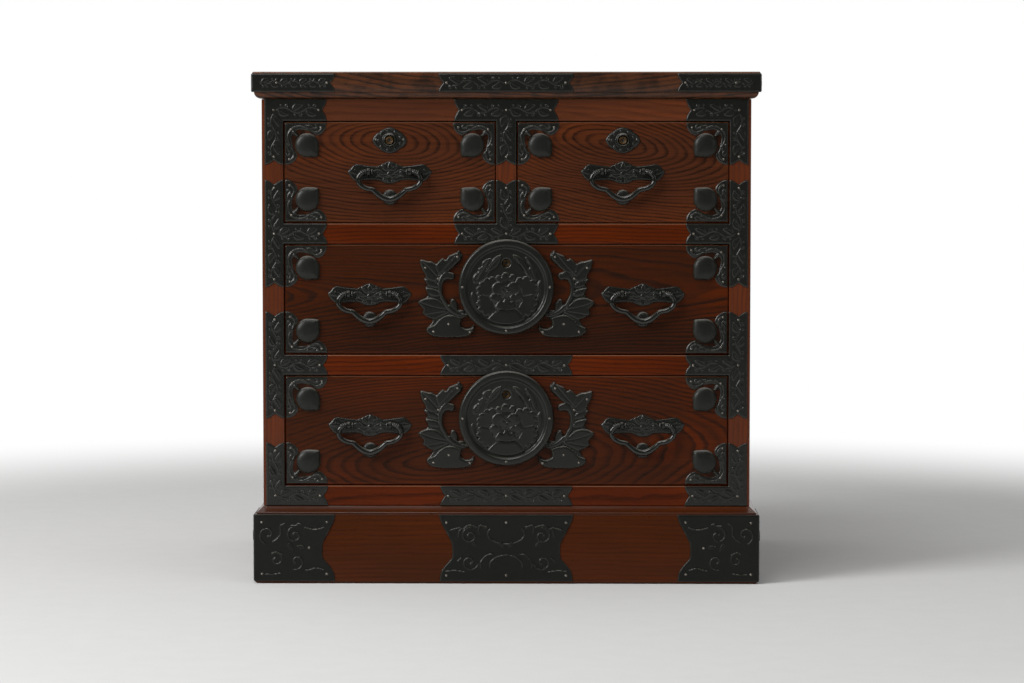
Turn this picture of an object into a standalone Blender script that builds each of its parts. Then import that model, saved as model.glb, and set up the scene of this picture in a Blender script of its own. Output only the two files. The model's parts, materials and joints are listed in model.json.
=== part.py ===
"""Japanese drawer chest: a lacquered carcass on a plinth, four drawers and black iron fittings.

Metres, +Z up, the front towards -Y, the origin on the floor under the middle of the chest.
"""

import math

import bmesh
import bpy
from mathutils import Vector

# Overall sizes, over the iron
WIDTH = 0.606
DEPTH = 0.424

# Fits
SEAT = 0.0003
IRON = 0.0015
EDGE = 0.0006

# Carcass
OVERHANG = 0.0102
SIDE_THICKNESS = 0.0255
BACK_THICKNESS = 0.008
PANEL_THICKNESS = 0.008
POST_WIDTH = 0.024
RAIL_DEPTH = 0.020
RAIL_HEIGHT = 0.024
TOP_RAIL_HEIGHT = 0.026
UPPER_OPENING = 0.122
LOWER_OPENING = 0.133
TOP_THICKNESS = 0.024
TOP_SLOPE = 0.008
TOP_LEDGE = 0.002
TOP_ROUND = 0.0022
BASE_HEIGHT = 0.0834
BASE_SLOPE = 0.009
BASE_STEP = 0.002
BASE_THICKNESS = 0.020

# Drawers
FRONT_THICKNESS = 0.020
FRONT_RECESS = 0.002
SIDE_PLAY = 0.001
TOP_PLAY = 0.0015
FOOT_PLAY = 0.0015
BOX_PLAY = 0.0005
BOX_WALL = 0.009
BOX_FLOOR = 0.007
BOX_HEADROOM = 0.020
BOX_BACK_ROOM = 0.014

# Irons on the carcass
STILE_MARGIN = 0.0033
REACH = 0.052
CENTER_ARM = 0.050
NOTCH = 0.0055
RAIL_STRAP = 0.158
TOP_STRAP = 0.160
TOP_CORNER_STRAP = 0.098
TOP_STRAP_RETURN = 0.070
BASE_PLATE = 0.161
BASE_CORNER_PLATE = 0.097
BASE_PLATE_RETURN = 0.070
BASE_PLATE_FOOT = 0.003
BASE_WAIST = 0.018

# Corner irons of the drawers
LEG_LENGTH = 0.0505
LEG_WIDTH = 0.010
LEG_LOBE = 0.0135
PEACH_RADIUS = 0.0145
PEACH_RISE = 0.005
PEACH_INSET = 0.0265

# Bail handles
HANDLE_GAP = 0.007
UPPER_HANDLE_RISE = 0.0005
LOWER_HANDLE_RISE = 0.0065
PLATE_WIDTH = 0.100
PLATE_RISE = 0.012
PLATE_DROP = 0.014
FLOWER_RADIUS = 0.0075
FLOWER_RISE = 0.003
PIVOT_OUT = 0.008
EYE_SPREAD = 0.049
EYE_LENGTH = 0.004
EYE_WALL = 0.0014
BORE_PLAY = 0.0004
BAIL_RADIUS = 0.0026
BAIL_GRIP_RADIUS = 0.0032
BAIL_BEAD = 0.003
BAIL_BEAD_RADIUS = 0.0034
BAIL_LOBE = 0.0103
BAIL_LOBE_SPREAD = 0.054
BAIL_CUSP_SPREAD = 0.037
BAIL_DROP = 0.0338
STUD_RADIUS = 0.009

# Locks
LOCK_DROP = 0.0215
PLUG_RADIUS = 0.0047
PLUG_SET_BACK = 0.001
SLOT_WIDTH = 0.0012
SLOT_DEPTH = 0.002
CAM_BITE = 0.008
CAM_WIDTH = 0.009
CAM_THICKNESS = 0.0025
COLLAR_RADIUS = 0.0075
COLLAR_RISE = 0.0045
ESCUTCHEON_WIDTH = 0.041
ESCUTCHEON_HEIGHT = 0.031
ROUNDEL_RADIUS = 0.057
ROUNDEL_RIM = 0.012
ROUNDEL_SKIN = 0.002
ROUNDEL_RISE = 0.0055
ROUNDEL_FLOWER = 0.024
KEYHOLE_RISE = 0.0285
LEAF_THICKNESS = 0.002
LEAF_ROOT = 0.004
LEAF_ROOT_ANGLES = (38, 30)

# Facets
TURNED_STEPS = 24
SMALL_STEPS = 12
BAIL_SIDES = 6
ROUND_STEPS = 3

# Places that follow from the sizes
top_half = WIDTH / 2 - IRON - SEAT
body_half = top_half - OVERHANG
opening_half = body_half - SIDE_THICKNESS
back_face = DEPTH / 2
inner_back = back_face - BACK_THICKNESS
top_front = -DEPTH / 2 + IRON + SEAT
body_front = top_front + OVERHANG
base_top = BASE_HEIGHT + BASE_SLOPE
body_foot = base_top + SEAT
bottom_floor = body_foot + RAIL_HEIGHT
lower_rail_foot = bottom_floor + LOWER_OPENING
middle_floor = lower_rail_foot + RAIL_HEIGHT
upper_rail_foot = middle_floor + LOWER_OPENING
upper_floor = upper_rail_foot + RAIL_HEIGHT
top_rail_foot = upper_floor + UPPER_OPENING
body_top = top_rail_foot + TOP_RAIL_HEIGHT
top_foot = body_top + SEAT
top_edge_foot = top_foot + TOP_SLOPE
chest_top = top_edge_foot + TOP_THICKNESS
stile_iron = SIDE_THICKNESS - STILE_MARGIN
plate_back = SEAT
plate_front = SEAT + IRON
bore_radius = BAIL_RADIUS + BORE_PLAY
eye_radius = bore_radius + EYE_WALL
plug_bore = PLUG_RADIUS + BORE_PLAY
roundel_back = FRONT_RECESS + plate_front + SEAT
cam_length = LOCK_DROP + CAM_BITE
lock_boss = LOCK_DROP + KEYHOLE_RISE - TOP_PLAY

# Colour, roughness and metallic value of each finish
FINISHES = {
    "lacquer": ((0.120, 0.030, 0.011), 0.35, 0.0),
    "figured": ((0.075, 0.022, 0.010), 0.32, 0.0),
    "bare": ((0.420, 0.270, 0.150), 0.70, 0.0),
    "iron": ((0.020, 0.022, 0.021), 0.45, 0.6),
    "brass": ((0.500, 0.330, 0.110), 0.35, 1.0),
}


def clear_scene():
    for obj in list(bpy.data.objects):
        bpy.data.objects.remove(obj, do_unlink=True)


def finish(name, kind):
    """A material of the part's own."""
    colour, roughness, metallic = FINISHES[kind]
    material = bpy.data.materials.new(name + "_finish")
    material.use_nodes = True
    shader = material.node_tree.nodes["Principled BSDF"]
    shader.inputs["Base Color"].default_value = (*colour, 1.0)
    shader.inputs["Roughness"].default_value = roughness
    shader.inputs["Metallic"].default_value = metallic
    material.diffuse_color = (*colour, 1.0)
    return material


def mesh_from(shape, name):
    if isinstance(shape, bpy.types.Mesh):
        return shape
    mesh = bpy.data.meshes.new(name)
    shape.to_mesh(mesh)
    shape.free()
    return mesh


def add(name, shape, kind, at=(0.0, 0.0, 0.0), parent=None, edge=0.0):
    """A named part from a bmesh or a mesh, with its material and, on wood, a small chamfer."""
    mesh = mesh_from(shape, name)
    mesh.materials.clear()
    mesh.materials.append(finish(name, kind))
    if kind in ("iron", "brass"):
        mesh.shade_smooth()
        mesh.set_sharp_from_angle(angle=math.radians(35))
    obj = bpy.data.objects.new(name, mesh)
    bpy.context.scene.collection.objects.link(obj)
    obj.location = at
    obj.parent = parent
    if edge:
        chamfer = obj.modifiers.new("chamfer", "BEVEL")
        chamfer.width = edge
        chamfer.segments = 1
        chamfer.limit_method = "ANGLE"
        chamfer.angle_limit = math.radians(40)
    return obj


def add_empty(name, at, parent=None):
    empty = bpy.data.objects.new(name, None)
    empty.empty_display_size = 0.03
    bpy.context.scene.collection.objects.link(empty)
    empty.location = at
    empty.parent = parent
    return empty


def combined(shape, *steps):
    """The mesh left after joining or cutting a shape with others, each step being (operation, shape)."""
    base = bpy.data.objects.new("base", mesh_from(shape, "base"))
    bpy.context.scene.collection.objects.link(base)
    helpers = []
    for operation, other in steps:
        helper = bpy.data.objects.new("helper", mesh_from(other, "helper"))
        bpy.context.scene.collection.objects.link(helper)
        helpers.append(helper)
        modifier = base.modifiers.new(operation.lower(), "BOOLEAN")
        modifier.operation = operation
        modifier.solver = "EXACT"
        modifier.object = helper
    bpy.context.view_layer.update()
    graph = bpy.context.evaluated_depsgraph_get()
    mesh = bpy.data.meshes.new_from_object(base.evaluated_get(graph))
    for obj in (base, *helpers):
        bpy.data.objects.remove(obj, do_unlink=True)
    return mesh


def merged(shapes):
    """One bmesh holding several separate shapes."""
    bm = bmesh.new()
    for shape in shapes:
        mesh = mesh_from(shape, "merged")
        bm.from_mesh(mesh)
        bpy.data.meshes.remove(mesh)
    return bm


def moved(bm, dx, dy, dz):
    bmesh.ops.translate(bm, vec=(dx, dy, dz), verts=bm.verts)
    return bm


def block(left, right, front, back, foot, top):
    bm = bmesh.new()
    bmesh.ops.create_cube(bm, size=1.0)
    bmesh.ops.scale(bm, vec=(right - left, back - front, top - foot), verts=bm.verts)
    return moved(bm, (left + right) / 2, (front + back) / 2, (foot + top) / 2)


def stacked(levels):
    """A board from level outlines, bottom first: (height, [(x, y), ...]) with matching points."""
    bm = bmesh.new()
    rings = []
    for z, outline in levels:
        rings.append([bm.verts.new((x, y, z)) for x, y in outline])
    count = len(rings[0])
    for low, high in zip(rings, rings[1:]):
        for i in range(count):
            j = (i + 1) % count
            bm.faces.new((low[i], low[j], high[j], high[i]))
    bm.faces.new(rings[0][::-1])
    bm.faces.new(rings[-1])
    return bm


def plate(outline, back, front):
    """A flat plate: an outline of (x, z) points between two distances in front of y = 0."""
    bm = bmesh.new()
    face = bm.faces.new([bm.verts.new((x, -back, z)) for x, z in outline])
    grown = bmesh.ops.extrude_face_region(bm, geom=[face])
    raised = [item for item in grown["geom"] if isinstance(item, bmesh.types.BMVert)]
    bmesh.ops.translate(bm, vec=(0, back - front, 0), verts=raised)
    bmesh.ops.recalc_face_normals(bm, faces=bm.faces)
    return bm


def turned(profile, steps):
    """A turned solid about the Y axis from (radius, distance in front of y = 0) points."""
    bm = bmesh.new()
    verts = [bm.verts.new((radius, -out, 0)) for radius, out in profile]
    edges = [bm.edges.new(pair) for pair in zip(verts, verts[1:])]
    bmesh.ops.spin(
        bm, geom=verts + edges, cent=(0, 0, 0), axis=(0, 1, 0), angle=2 * math.pi, steps=steps
    )
    bmesh.ops.remove_doubles(bm, verts=bm.verts, dist=1e-6)
    bmesh.ops.recalc_face_normals(bm, faces=bm.faces)
    return bm


def rod(radius, back, front, steps=SMALL_STEPS):
    """A round bar along Y."""
    return turned([(0, back), (radius, back), (radius, front), (0, front)], steps)


def cross_rod(radius, left, right, out, steps=SMALL_STEPS):
    """A round bar along X, with its axis this far in front of y = 0."""
    bm = bmesh.new()
    ring = []
    for i in range(steps):
        angle = 2 * math.pi * i / steps
        ring.append(bm.verts.new((left, -out + radius * math.cos(angle), radius * math.sin(angle))))
    grown = bmesh.ops.extrude_face_region(bm, geom=[bm.faces.new(ring)])
    far = [item for item in grown["geom"] if isinstance(item, bmesh.types.BMVert)]
    bmesh.ops.translate(bm, vec=(right - left, 0, 0), verts=far)
    bmesh.ops.recalc_face_normals(bm, faces=bm.faces)
    return bm


def dome(outline, centre, back, foot, rise, rings=3):
    """A domed boss over an outline: straight sides from back to foot, then shrinking rings to a crown."""
    bm = bmesh.new()
    cx, cz = centre
    loops = [[bm.verts.new((x, -back, z)) for x, z in outline]]
    for k in range(rings):
        angle = math.pi / 2 * k / rings
        share = math.cos(angle)
        out = foot + rise * math.sin(angle)
        loops.append(
            [bm.verts.new((cx + (x - cx) * share, -out, cz + (z - cz) * share)) for x, z in outline]
        )
    count = len(outline)
    for low, high in zip(loops, loops[1:]):
        for i in range(count):
            j = (i + 1) % count
            bm.faces.new((low[i], low[j], high[j], high[i]))
    crown = bm.verts.new((cx, -foot - rise, cz))
    for i in range(count):
        bm.faces.new((loops[-1][i], loops[-1][(i + 1) % count], crown))
    bm.faces.new(loops[0][::-1])
    bmesh.ops.recalc_face_normals(bm, faces=bm.faces)
    return bm


def arc(cx, cz, radius, start, end, count):
    """Points of a circle from one angle to another, in degrees."""
    points = []
    for i in range(count + 1):
        angle = math.radians(start + (end - start) * i / count)
        points.append((cx + radius * math.cos(angle), cz + radius * math.sin(angle)))
    return points


def mirrored(outline, across, upside):
    """An outline flipped left to right or top to bottom, kept counterclockwise."""
    flipped = [(x * across, z * upside) for x, z in outline]
    if across * upside < 0:
        flipped.reverse()
    return flipped


def tail_end(start, end):
    """Inner points of a plate's end shaped as two lobes with a notch between, left of start to end."""
    (x0, z0), (x1, z1) = start, end
    length = math.hypot(x1 - x0, z1 - z0)
    nx, nz = -(z1 - z0) / length, (x1 - x0) / length
    points = []
    for i in range(1, 8):
        share = i / 8
        depth = NOTCH * (1 - math.sin(math.pi / 2 * abs(1 - 2 * share)))
        points.append((x0 + (x1 - x0) * share + nx * depth, z0 + (z1 - z0) * share + nz * depth))
    return points


def waist_end(start, end):
    """Inner points of a base plate's end: a large and a small lobe from each corner to the waist."""
    (x0, z0), (x1, z1) = start, end
    length = math.hypot(x1 - x0, z1 - z0)
    nx, nz = -(z1 - z0) / length, (x1 - x0) / length
    points = []
    for i in range(1, 16):
        share = i / 16
        near = min(share, 1 - share)
        if near < 0.3125:
            depth = BASE_WAIST * 0.64 * (1 - math.cos(math.pi / 2 * near / 0.3125))
        else:
            depth = BASE_WAIST * (1 - 0.36 * math.cos(math.pi / 2 * (near - 0.3125) / 0.1875))
        points.append((x0 + (x1 - x0) * share + nx * depth, z0 + (z1 - z0) * share + nz * depth))
    return points


def ended(start, end, shape):
    return [start, *shape(start, end), end]


def corner_iron(rail_height):
    """Upper left corner of the face, from the inner corner of the frame."""
    return [
        (0, 0),
        *ended((REACH, 0), (REACH, rail_height), tail_end),
        (-stile_iron, rail_height),
        *ended((-stile_iron, -REACH), (0, -REACH), tail_end),
    ]


def tee_iron(rail_height):
    """Left tee over a rail, from the lower inner corner of the opening above."""
    foot = -rail_height
    return [
        (0, 0),
        *ended((0, REACH), (-stile_iron, REACH), tail_end),
        *ended((-stile_iron, foot - REACH), (0, foot - REACH), tail_end),
        (0, foot),
        *ended((REACH, foot), (REACH, 0), tail_end),
    ]


def hanging_tee(rail_height):
    """Tee on a rail with its stem down the centre post, from the rail's lower edge."""
    half = POST_WIDTH / 2
    arm = half + CENTER_ARM
    return [
        (half, 0),
        *ended((arm, 0), (arm, rail_height), tail_end),
        *ended((-arm, rail_height), (-arm, 0), tail_end),
        (-half, 0),
        *ended((-half, -REACH), (half, -REACH), tail_end),
    ]


def strap(length, foot, top, shape):
    half = length / 2
    return [*ended((half, foot), (half, top), shape), *ended((-half, top), (-half, foot), shape)]


def folded_plate(name, across, foot, top, reach, wrap, shape):
    """A plate bent around a front corner of the top or the base: across is -1 at the left."""
    corner_x = across * (top_half + SEAT)
    corner_y = top_front - SEAT
    bm = bmesh.new()
    fold = [bm.verts.new((corner_x, corner_y, foot)), bm.verts.new((corner_x, corner_y, top))]
    front_end = ended((reach, foot), (reach, top), shape)
    side_end = ended((wrap, foot), (wrap, top), shape)
    front = [bm.verts.new((corner_x - across * run, corner_y, z)) for run, z in front_end]
    side = [bm.verts.new((corner_x, corner_y + run, z)) for run, z in side_end]
    front_face = [fold[0], *front, fold[1]]
    side_face = [fold[0], fold[1], *reversed(side)]
    if across > 0:
        front_face.reverse()
        side_face.reverse()
    bm.faces.new(front_face)
    bm.faces.new(side_face)
    obj = add(name, bm, "iron")
    skin = obj.modifiers.new("thickness", "SOLIDIFY")
    skin.thickness = IRON
    skin.offset = 1.0
    skin.use_even_offset = True
    return obj


def add_carcass():
    width = opening_half - SEAT
    for side, across in (("left", -1), ("right", 1)):
        edges = sorted((across * body_half, across * opening_half))
        board = block(*edges, body_front, back_face, body_foot, body_top)
        add(side + "_side", board, "lacquer", edge=EDGE)
    add(
        "back_panel",
        block(-width, width, inner_back, back_face, body_foot, body_top),
        "lacquer",
    )
    rails = (
        ("bottom_rail", body_foot, RAIL_HEIGHT),
        ("lower_rail", lower_rail_foot, RAIL_HEIGHT),
        ("upper_rail", upper_rail_foot, RAIL_HEIGHT),
        ("top_rail", top_rail_foot, TOP_RAIL_HEIGHT),
    )
    rail_back = body_front + RAIL_DEPTH
    for name, foot, height in rails:
        add(name, block(-width, width, body_front, rail_back, foot, foot + height), "lacquer", edge=EDGE)
    panels = (
        ("bottom_board", bottom_floor),
        ("lower_dust_panel", middle_floor),
        ("upper_dust_panel", upper_floor),
    )
    for name, top in panels:
        board = block(-width, width, rail_back + SEAT, inner_back - SEAT, top - PANEL_THICKNESS, top)
        add(name, board, "bare")
    half = POST_WIDTH / 2
    post = block(-half, half, body_front, inner_back - SEAT, upper_floor + SEAT, top_rail_foot - SEAT)
    add("center_partition", post, "lacquer", edge=EDGE)


def level(inset, front=top_front, back=back_face):
    """Outline of the top or the base's front at some distance inside its widest edge."""
    side = top_half - inset
    return [(-side, front + inset), (side, front + inset), (side, back), (-side, back)]


def add_top_and_base():
    levels = []
    quarter = [math.pi / 2 * i / ROUND_STEPS for i in range(ROUND_STEPS + 1)]
    for angle in quarter:
        inset = OVERHANG - (OVERHANG - TOP_LEDGE) * math.sin(angle)
        levels.append((top_edge_foot - TOP_SLOPE * math.cos(angle), level(inset)))
    levels.append((top_edge_foot, level(0)))
    for angle in quarter:
        inset = TOP_ROUND * (1 - math.cos(angle))
        levels.append((chest_top - TOP_ROUND * (1 - math.sin(angle)), level(inset)))
    add("top_board", stacked(levels), "lacquer")
    board_back = top_front + BASE_THICKNESS
    steps = (
        (0, 0),
        (BASE_HEIGHT, 0),
        (BASE_HEIGHT, BASE_STEP),
        (BASE_HEIGHT + BASE_STEP, BASE_STEP),
        (base_top, OVERHANG),
    )
    add("base_front", stacked([(z, level(inset, back=board_back)) for z, inset in steps]), "lacquer")
    inner = top_half - BASE_THICKNESS
    inner_end = back_face - BASE_THICKNESS
    start = board_back + SEAT
    levels = []
    for z, inset in steps:
        outer = top_half - inset
        outline = [
            (-outer, start),
            (-inner, start),
            (-inner, inner_end),
            (inner, inner_end),
            (inner, start),
            (outer, start),
            (outer, back_face),
            (-outer, back_face),
        ]
        levels.append((z, outline))
    add("base_frame", stacked(levels), "lacquer")


def add_face_irons():
    face_y = body_front
    corners = (
        ("top_left_iron", -1, 1, top_rail_foot, TOP_RAIL_HEIGHT),
        ("top_right_iron", 1, 1, top_rail_foot, TOP_RAIL_HEIGHT),
        ("bottom_left_iron", -1, -1, bottom_floor, RAIL_HEIGHT),
        ("bottom_right_iron", 1, -1, bottom_floor, RAIL_HEIGHT),
    )
    for name, across, upside, corner, height in corners:
        outline = mirrored(corner_iron(height), -across, upside)
        at = (across * opening_half, face_y, corner)
        add(name, plate(outline, plate_back, plate_front), "iron", at)
    tees = (
        ("upper_left_tee", -1, upper_floor),
        ("upper_right_tee", 1, upper_floor),
        ("lower_left_tee", -1, middle_floor),
        ("lower_right_tee", 1, middle_floor),
    )
    for name, across, floor in tees:
        outline = mirrored(tee_iron(RAIL_HEIGHT), -across, 1)
        at = (across * opening_half, face_y, floor)
        add(name, plate(outline, plate_back, plate_front), "iron", at)
    hanging = plate(hanging_tee(TOP_RAIL_HEIGHT), plate_back, plate_front)
    add("top_center_tee", hanging, "iron", (0, face_y, top_rail_foot))
    standing = plate(mirrored(hanging_tee(RAIL_HEIGHT), 1, -1), plate_back, plate_front)
    add("upper_center_tee", standing, "iron", (0, face_y, upper_floor))
    for name, foot in (("lower_rail_strap", lower_rail_foot), ("bottom_rail_strap", body_foot)):
        band = plate(strap(RAIL_STRAP, 0, RAIL_HEIGHT, tail_end), plate_back, plate_front)
        add(name, band, "iron", (0, face_y, foot))


def add_edge_irons():
    strap_top = chest_top - TOP_ROUND
    base_foot = BASE_PLATE_FOOT
    base_edge = BASE_HEIGHT
    for side, across in (("left", -1), ("right", 1)):
        folded_plate(
            f"top_{side}_strap",
            across,
            top_edge_foot,
            strap_top,
            TOP_CORNER_STRAP,
            TOP_STRAP_RETURN,
            tail_end,
        )
        folded_plate(
            f"base_{side}_plate",
            across,
            base_foot,
            base_edge,
            BASE_CORNER_PLATE,
            BASE_PLATE_RETURN,
            waist_end,
        )
    at = (0, top_front, 0)
    outline = strap(TOP_STRAP, top_edge_foot, strap_top, tail_end)
    add("top_center_strap", plate(outline, plate_back, plate_front), "iron", at)
    outline = strap(BASE_PLATE, base_foot, base_edge, waist_end)
    add("base_center_plate", plate(outline, plate_back, plate_front), "iron", at)


def leg_outline():
    """Two legs of a drawer's corner iron with rounded ends and a stem towards the boss."""
    lobe = LEG_LOBE / 2
    stem = PEACH_INSET - PEACH_RADIUS * 0.55
    half_stem = LEG_WIDTH * 0.2
    run = LEG_LENGTH - lobe
    side = arc(lobe, -run, lobe, 180, 360, 4)
    over = arc(run, -lobe, lobe, -90, 90, 4)
    return [
        (0, 0),
        *side,
        (LEG_WIDTH * 0.8, -run + lobe * 1.4),
        (LEG_WIDTH * 0.8, -LEG_WIDTH - half_stem),
        (stem - half_stem, -stem - half_stem),
        (stem + half_stem, -stem + half_stem),
        (LEG_WIDTH + half_stem, -LEG_WIDTH * 0.8),
        (run - lobe * 1.4, -LEG_WIDTH * 0.8),
        *over,
    ]


def peach_outline():
    """A round boss with one pointed corner, away from the drawer's corner."""
    c = PEACH_INSET
    round_part = arc(c, -c, PEACH_RADIUS, 0, 270, 9)
    return [*round_part, (c + PEACH_RADIUS, -c - PEACH_RADIUS)]


def drawer_front(width, height, studs, lock_height):
    """Front board with its corner irons, strike studs and the bore for the lock."""
    half = width / 2 - SIDE_PLAY
    foot, top = FOOT_PLAY, height - TOP_PLAY
    board = block(-half, half, 0, FRONT_THICKNESS, foot, top)
    sunk = -EDGE
    legs = []
    bosses = []
    for across in (-1, 1):
        side = across * (half - EDGE)
        for upside, edge in ((1, top - EDGE), (-1, foot + EDGE)):
            outline = mirrored(leg_outline(), -across, upside)
            legs.append(moved(plate(outline, sunk, IRON), side, 0, edge))
            outline = mirrored(peach_outline(), -across, upside)
            centre = (-across * PEACH_INSET, -upside * PEACH_INSET)
            boss = dome(outline, centre, 2 * sunk, IRON * 0.6, PEACH_RISE)
            bosses.append(moved(boss, side, 0, edge))
    stud_rise = PIVOT_OUT - BAIL_GRIP_RADIUS - SEAT
    for x, z in studs:
        ring = arc(x, z, STUD_RADIUS, 0, 360, 12)[:-1]
        bosses.append(dome(ring, (x, z), 2 * sunk, IRON, stud_rise - IRON))
    bore = moved(rod(plug_bore, -2 * FRONT_THICKNESS, FRONT_THICKNESS), 0, 0, lock_height)
    return combined(board, ("UNION", merged(legs)), ("UNION", merged(bosses)), ("DIFFERENCE", bore))


def drawer_box(width, height):
    """Sides, back and bottom of a drawer, open at the top and behind the front."""
    half = width / 2 - SIDE_PLAY - BOX_PLAY
    front = FRONT_THICKNESS + SEAT
    back = inner_back - BOX_BACK_ROOM - body_front - FRONT_RECESS
    top = height - BOX_HEADROOM
    inner = half - BOX_WALL
    hollow = block(-inner, inner, front - BOX_WALL, back - BOX_WALL, SEAT + BOX_FLOOR, top + BOX_WALL)
    return combined(block(-half, half, front, back, SEAT, top), ("DIFFERENCE", hollow))


def handle_outline():
    """Back plate of a handle about its pivot: pointed ends, a crest above and a lobe below."""
    half = PLATE_WIDTH / 2
    right = [
        (0.18, -0.86, PLATE_DROP),
        (0.36, -0.68, PLATE_DROP),
        (0.62, -0.72, PLATE_DROP),
        (0.80, -0.76, PLATE_DROP),
        (1.00, 0.00, PLATE_RISE),
        (0.84, 0.72, PLATE_RISE),
        (0.74, 0.76, PLATE_RISE),
        (0.28, 0.50, PLATE_RISE),
        (0.18, 0.80, PLATE_RISE),
        (0.08, 0.96, PLATE_RISE),
    ]
    points = [(x * half, z * size) for x, z, size in right]
    left = [(-x, z) for x, z in reversed(points)]
    return [(0, -PLATE_DROP), *points, (0, PLATE_RISE), *left]


def handle_plate():
    """Back plate with a flower boss and the two eyes that carry the bail."""
    eyes = []
    bores = []
    for across in (-1, 1):
        x = across * EYE_SPREAD / 2
        left, right = x - EYE_LENGTH / 2, x + EYE_LENGTH / 2
        neck = [(-plate_back - IRON / 2, -eye_radius), (-plate_back - IRON / 2, eye_radius)]
        nose = [(y - PIVOT_OUT, z) for y, z in arc(0, 0, eye_radius, 90, 270, 8)]
        bm = bmesh.new()
        ring = [bm.verts.new((left, y, z)) for y, z in neck + nose]
        grown = bmesh.ops.extrude_face_region(bm, geom=[bm.faces.new(ring)])
        far = [item for item in grown["geom"] if isinstance(item, bmesh.types.BMVert)]
        bmesh.ops.translate(bm, vec=(right - left, 0, 0), verts=far)
        bmesh.ops.recalc_face_normals(bm, faces=bm.faces)
        eyes.append(bm)
        bores.append(cross_rod(bore_radius, left - EYE_LENGTH, right + EYE_LENGTH, PIVOT_OUT))
    ring = arc(0, 0, FLOWER_RADIUS, 0, 360, 12)[:-1]
    flower = dome(ring, (0, 0), plate_back + IRON / 2, plate_front, FLOWER_RISE)
    return combined(
        plate(handle_outline(), plate_back, plate_front),
        ("UNION", merged([*eyes, flower])),
        ("DIFFERENCE", merged(bores)),
    )


def bail_path():
    """Right half of the bail from its bead inside the eye to the middle of the grip, with its radius."""
    start = EYE_SPREAD / 2 - EYE_LENGTH / 2 - BORE_PLAY
    clear = EYE_SPREAD / 2 + EYE_LENGTH / 2 + BORE_PLAY
    lobe_x = BAIL_LOBE_SPREAD / 2
    cusp_x = BAIL_CUSP_SPREAD / 2
    cusp_z = -2 * BAIL_LOBE
    path = [(start - BAIL_BEAD, 0), (start - BAIL_BEAD / 2, 0), (start, 0), (clear, 0)]
    path += arc(lobe_x, -BAIL_LOBE, BAIL_LOBE, 90, -90, 7)
    for i in range(6):
        x = cusp_x * (1 - i / 5)
        z = -BAIL_DROP + (cusp_z + BAIL_DROP) * (x / cusp_x) ** 2
        path.append((x, z))
    radii = [BAIL_BEAD_RADIUS * 0.7, BAIL_BEAD_RADIUS]
    radii += [BAIL_RADIUS] * (len(path) - len(radii) - 5)
    for i in range(1, 6):
        radii.append(BAIL_RADIUS + (BAIL_GRIP_RADIUS - BAIL_RADIUS) * i / 5)
    return path, radii


def bail_shape():
    """The bail as a round bar along its path, hanging from the pivot."""
    path, radii = bail_path()
    whole = [(-x, z) for x, z in path] + list(reversed(path[:-1]))
    sizes = radii + list(reversed(radii[:-1]))
    bm = bmesh.new()
    rings = []
    for i, (x, z) in enumerate(whole):
        before = Vector(whole[max(i - 1, 0)])
        after = Vector(whole[min(i + 1, len(whole) - 1)])
        along = (after - before).normalized()
        ring = []
        for k in range(BAIL_SIDES):
            angle = 2 * math.pi * k / BAIL_SIDES
            across = sizes[i] * math.cos(angle)
            out = sizes[i] * math.sin(angle)
            ring.append(bm.verts.new((x - along.y * across, -out, z + along.x * across)))
        rings.append(ring)
    for low, high in zip(rings, rings[1:]):
        for k in range(BAIL_SIDES):
            j = (k + 1) % BAIL_SIDES
            bm.faces.new((low[k], low[j], high[j], high[k]))
    bm.faces.new(rings[0])
    bm.faces.new(rings[-1])
    bmesh.ops.recalc_face_normals(bm, faces=bm.faces)
    return bm


def escutcheon():
    """Pointed oval plate with a raised collar around the lock."""
    outline = []
    for i in range(24):
        angle = 2 * math.pi * i / 24
        c, s = math.cos(angle), math.sin(angle)
        outline.append(
            (
                ESCUTCHEON_WIDTH / 2 * math.copysign(abs(c) ** 1.3, c),
                ESCUTCHEON_HEIGHT / 2 * math.copysign(abs(s) ** 1.3, s),
            )
        )
    collar = [
        (0, plate_back + IRON / 2),
        (COLLAR_RADIUS, plate_back + IRON / 2),
        (COLLAR_RADIUS, plate_front + COLLAR_RISE * 0.75),
        (COLLAR_RADIUS * 0.87, plate_front + COLLAR_RISE),
        (0, plate_front + COLLAR_RISE),
    ]
    return combined(
        plate(outline, plate_back, plate_front),
        ("UNION", turned(collar, 20)),
        ("DIFFERENCE", rod(plug_bore, -FRONT_THICKNESS, 2 * FRONT_THICKNESS)),
    )


def leaf_outline():
    """Left leaf wing of a round lock plate about its middle, with its root on the boss."""
    shares = [
        (-1.00, -0.48),
        (-1.02, -0.36),
        (-1.15, -0.25),
        (-1.13, -0.38),
        (-1.24, -0.33),
        (-1.31, -0.19),
        (-1.33, 0.01),
        (-1.25, 0.15),
        (-1.10, 0.15),
        (-1.08, 0.24),
        (-1.20, 0.34),
        (-1.03, 0.63),
        (-1.03, 0.76),
        (-1.17, 0.69),
        (-1.30, 0.59),
        (-1.38, 0.62),
        (-1.49, 0.51),
        (-1.63, 0.55),
        (-1.83, 0.57),
        (-1.77, 0.37),
        (-1.69, 0.26),
        (-1.73, 0.15),
        (-1.67, 0.06),
        (-1.71, -0.03),
        (-1.66, -0.14),
        (-1.69, -0.22),
        (-1.86, -0.33),
        (-1.74, -0.46),
        (-1.76, -0.56),
        (-1.54, -0.69),
        (-1.70, -0.88),
        (-1.60, -1.01),
        (-1.17, -1.04),
        (-0.74, -1.03),
        (-0.65, -0.91),
        (-0.63, -0.76),
        (-0.74, -0.83),
        (-0.86, -0.88),
        (-0.98, -0.81),
        (-0.99, -0.70),
        (-0.92, -0.63),
    ]
    outline = [(x * ROUNDEL_RADIUS, z * ROUNDEL_RADIUS) for x, z in shares]
    root = lock_boss - LEAF_ROOT
    for angle in LEAF_ROOT_ANGLES:
        outline.append((-root * math.cos(math.radians(angle)), -root * math.sin(math.radians(angle))))
    return outline


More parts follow.
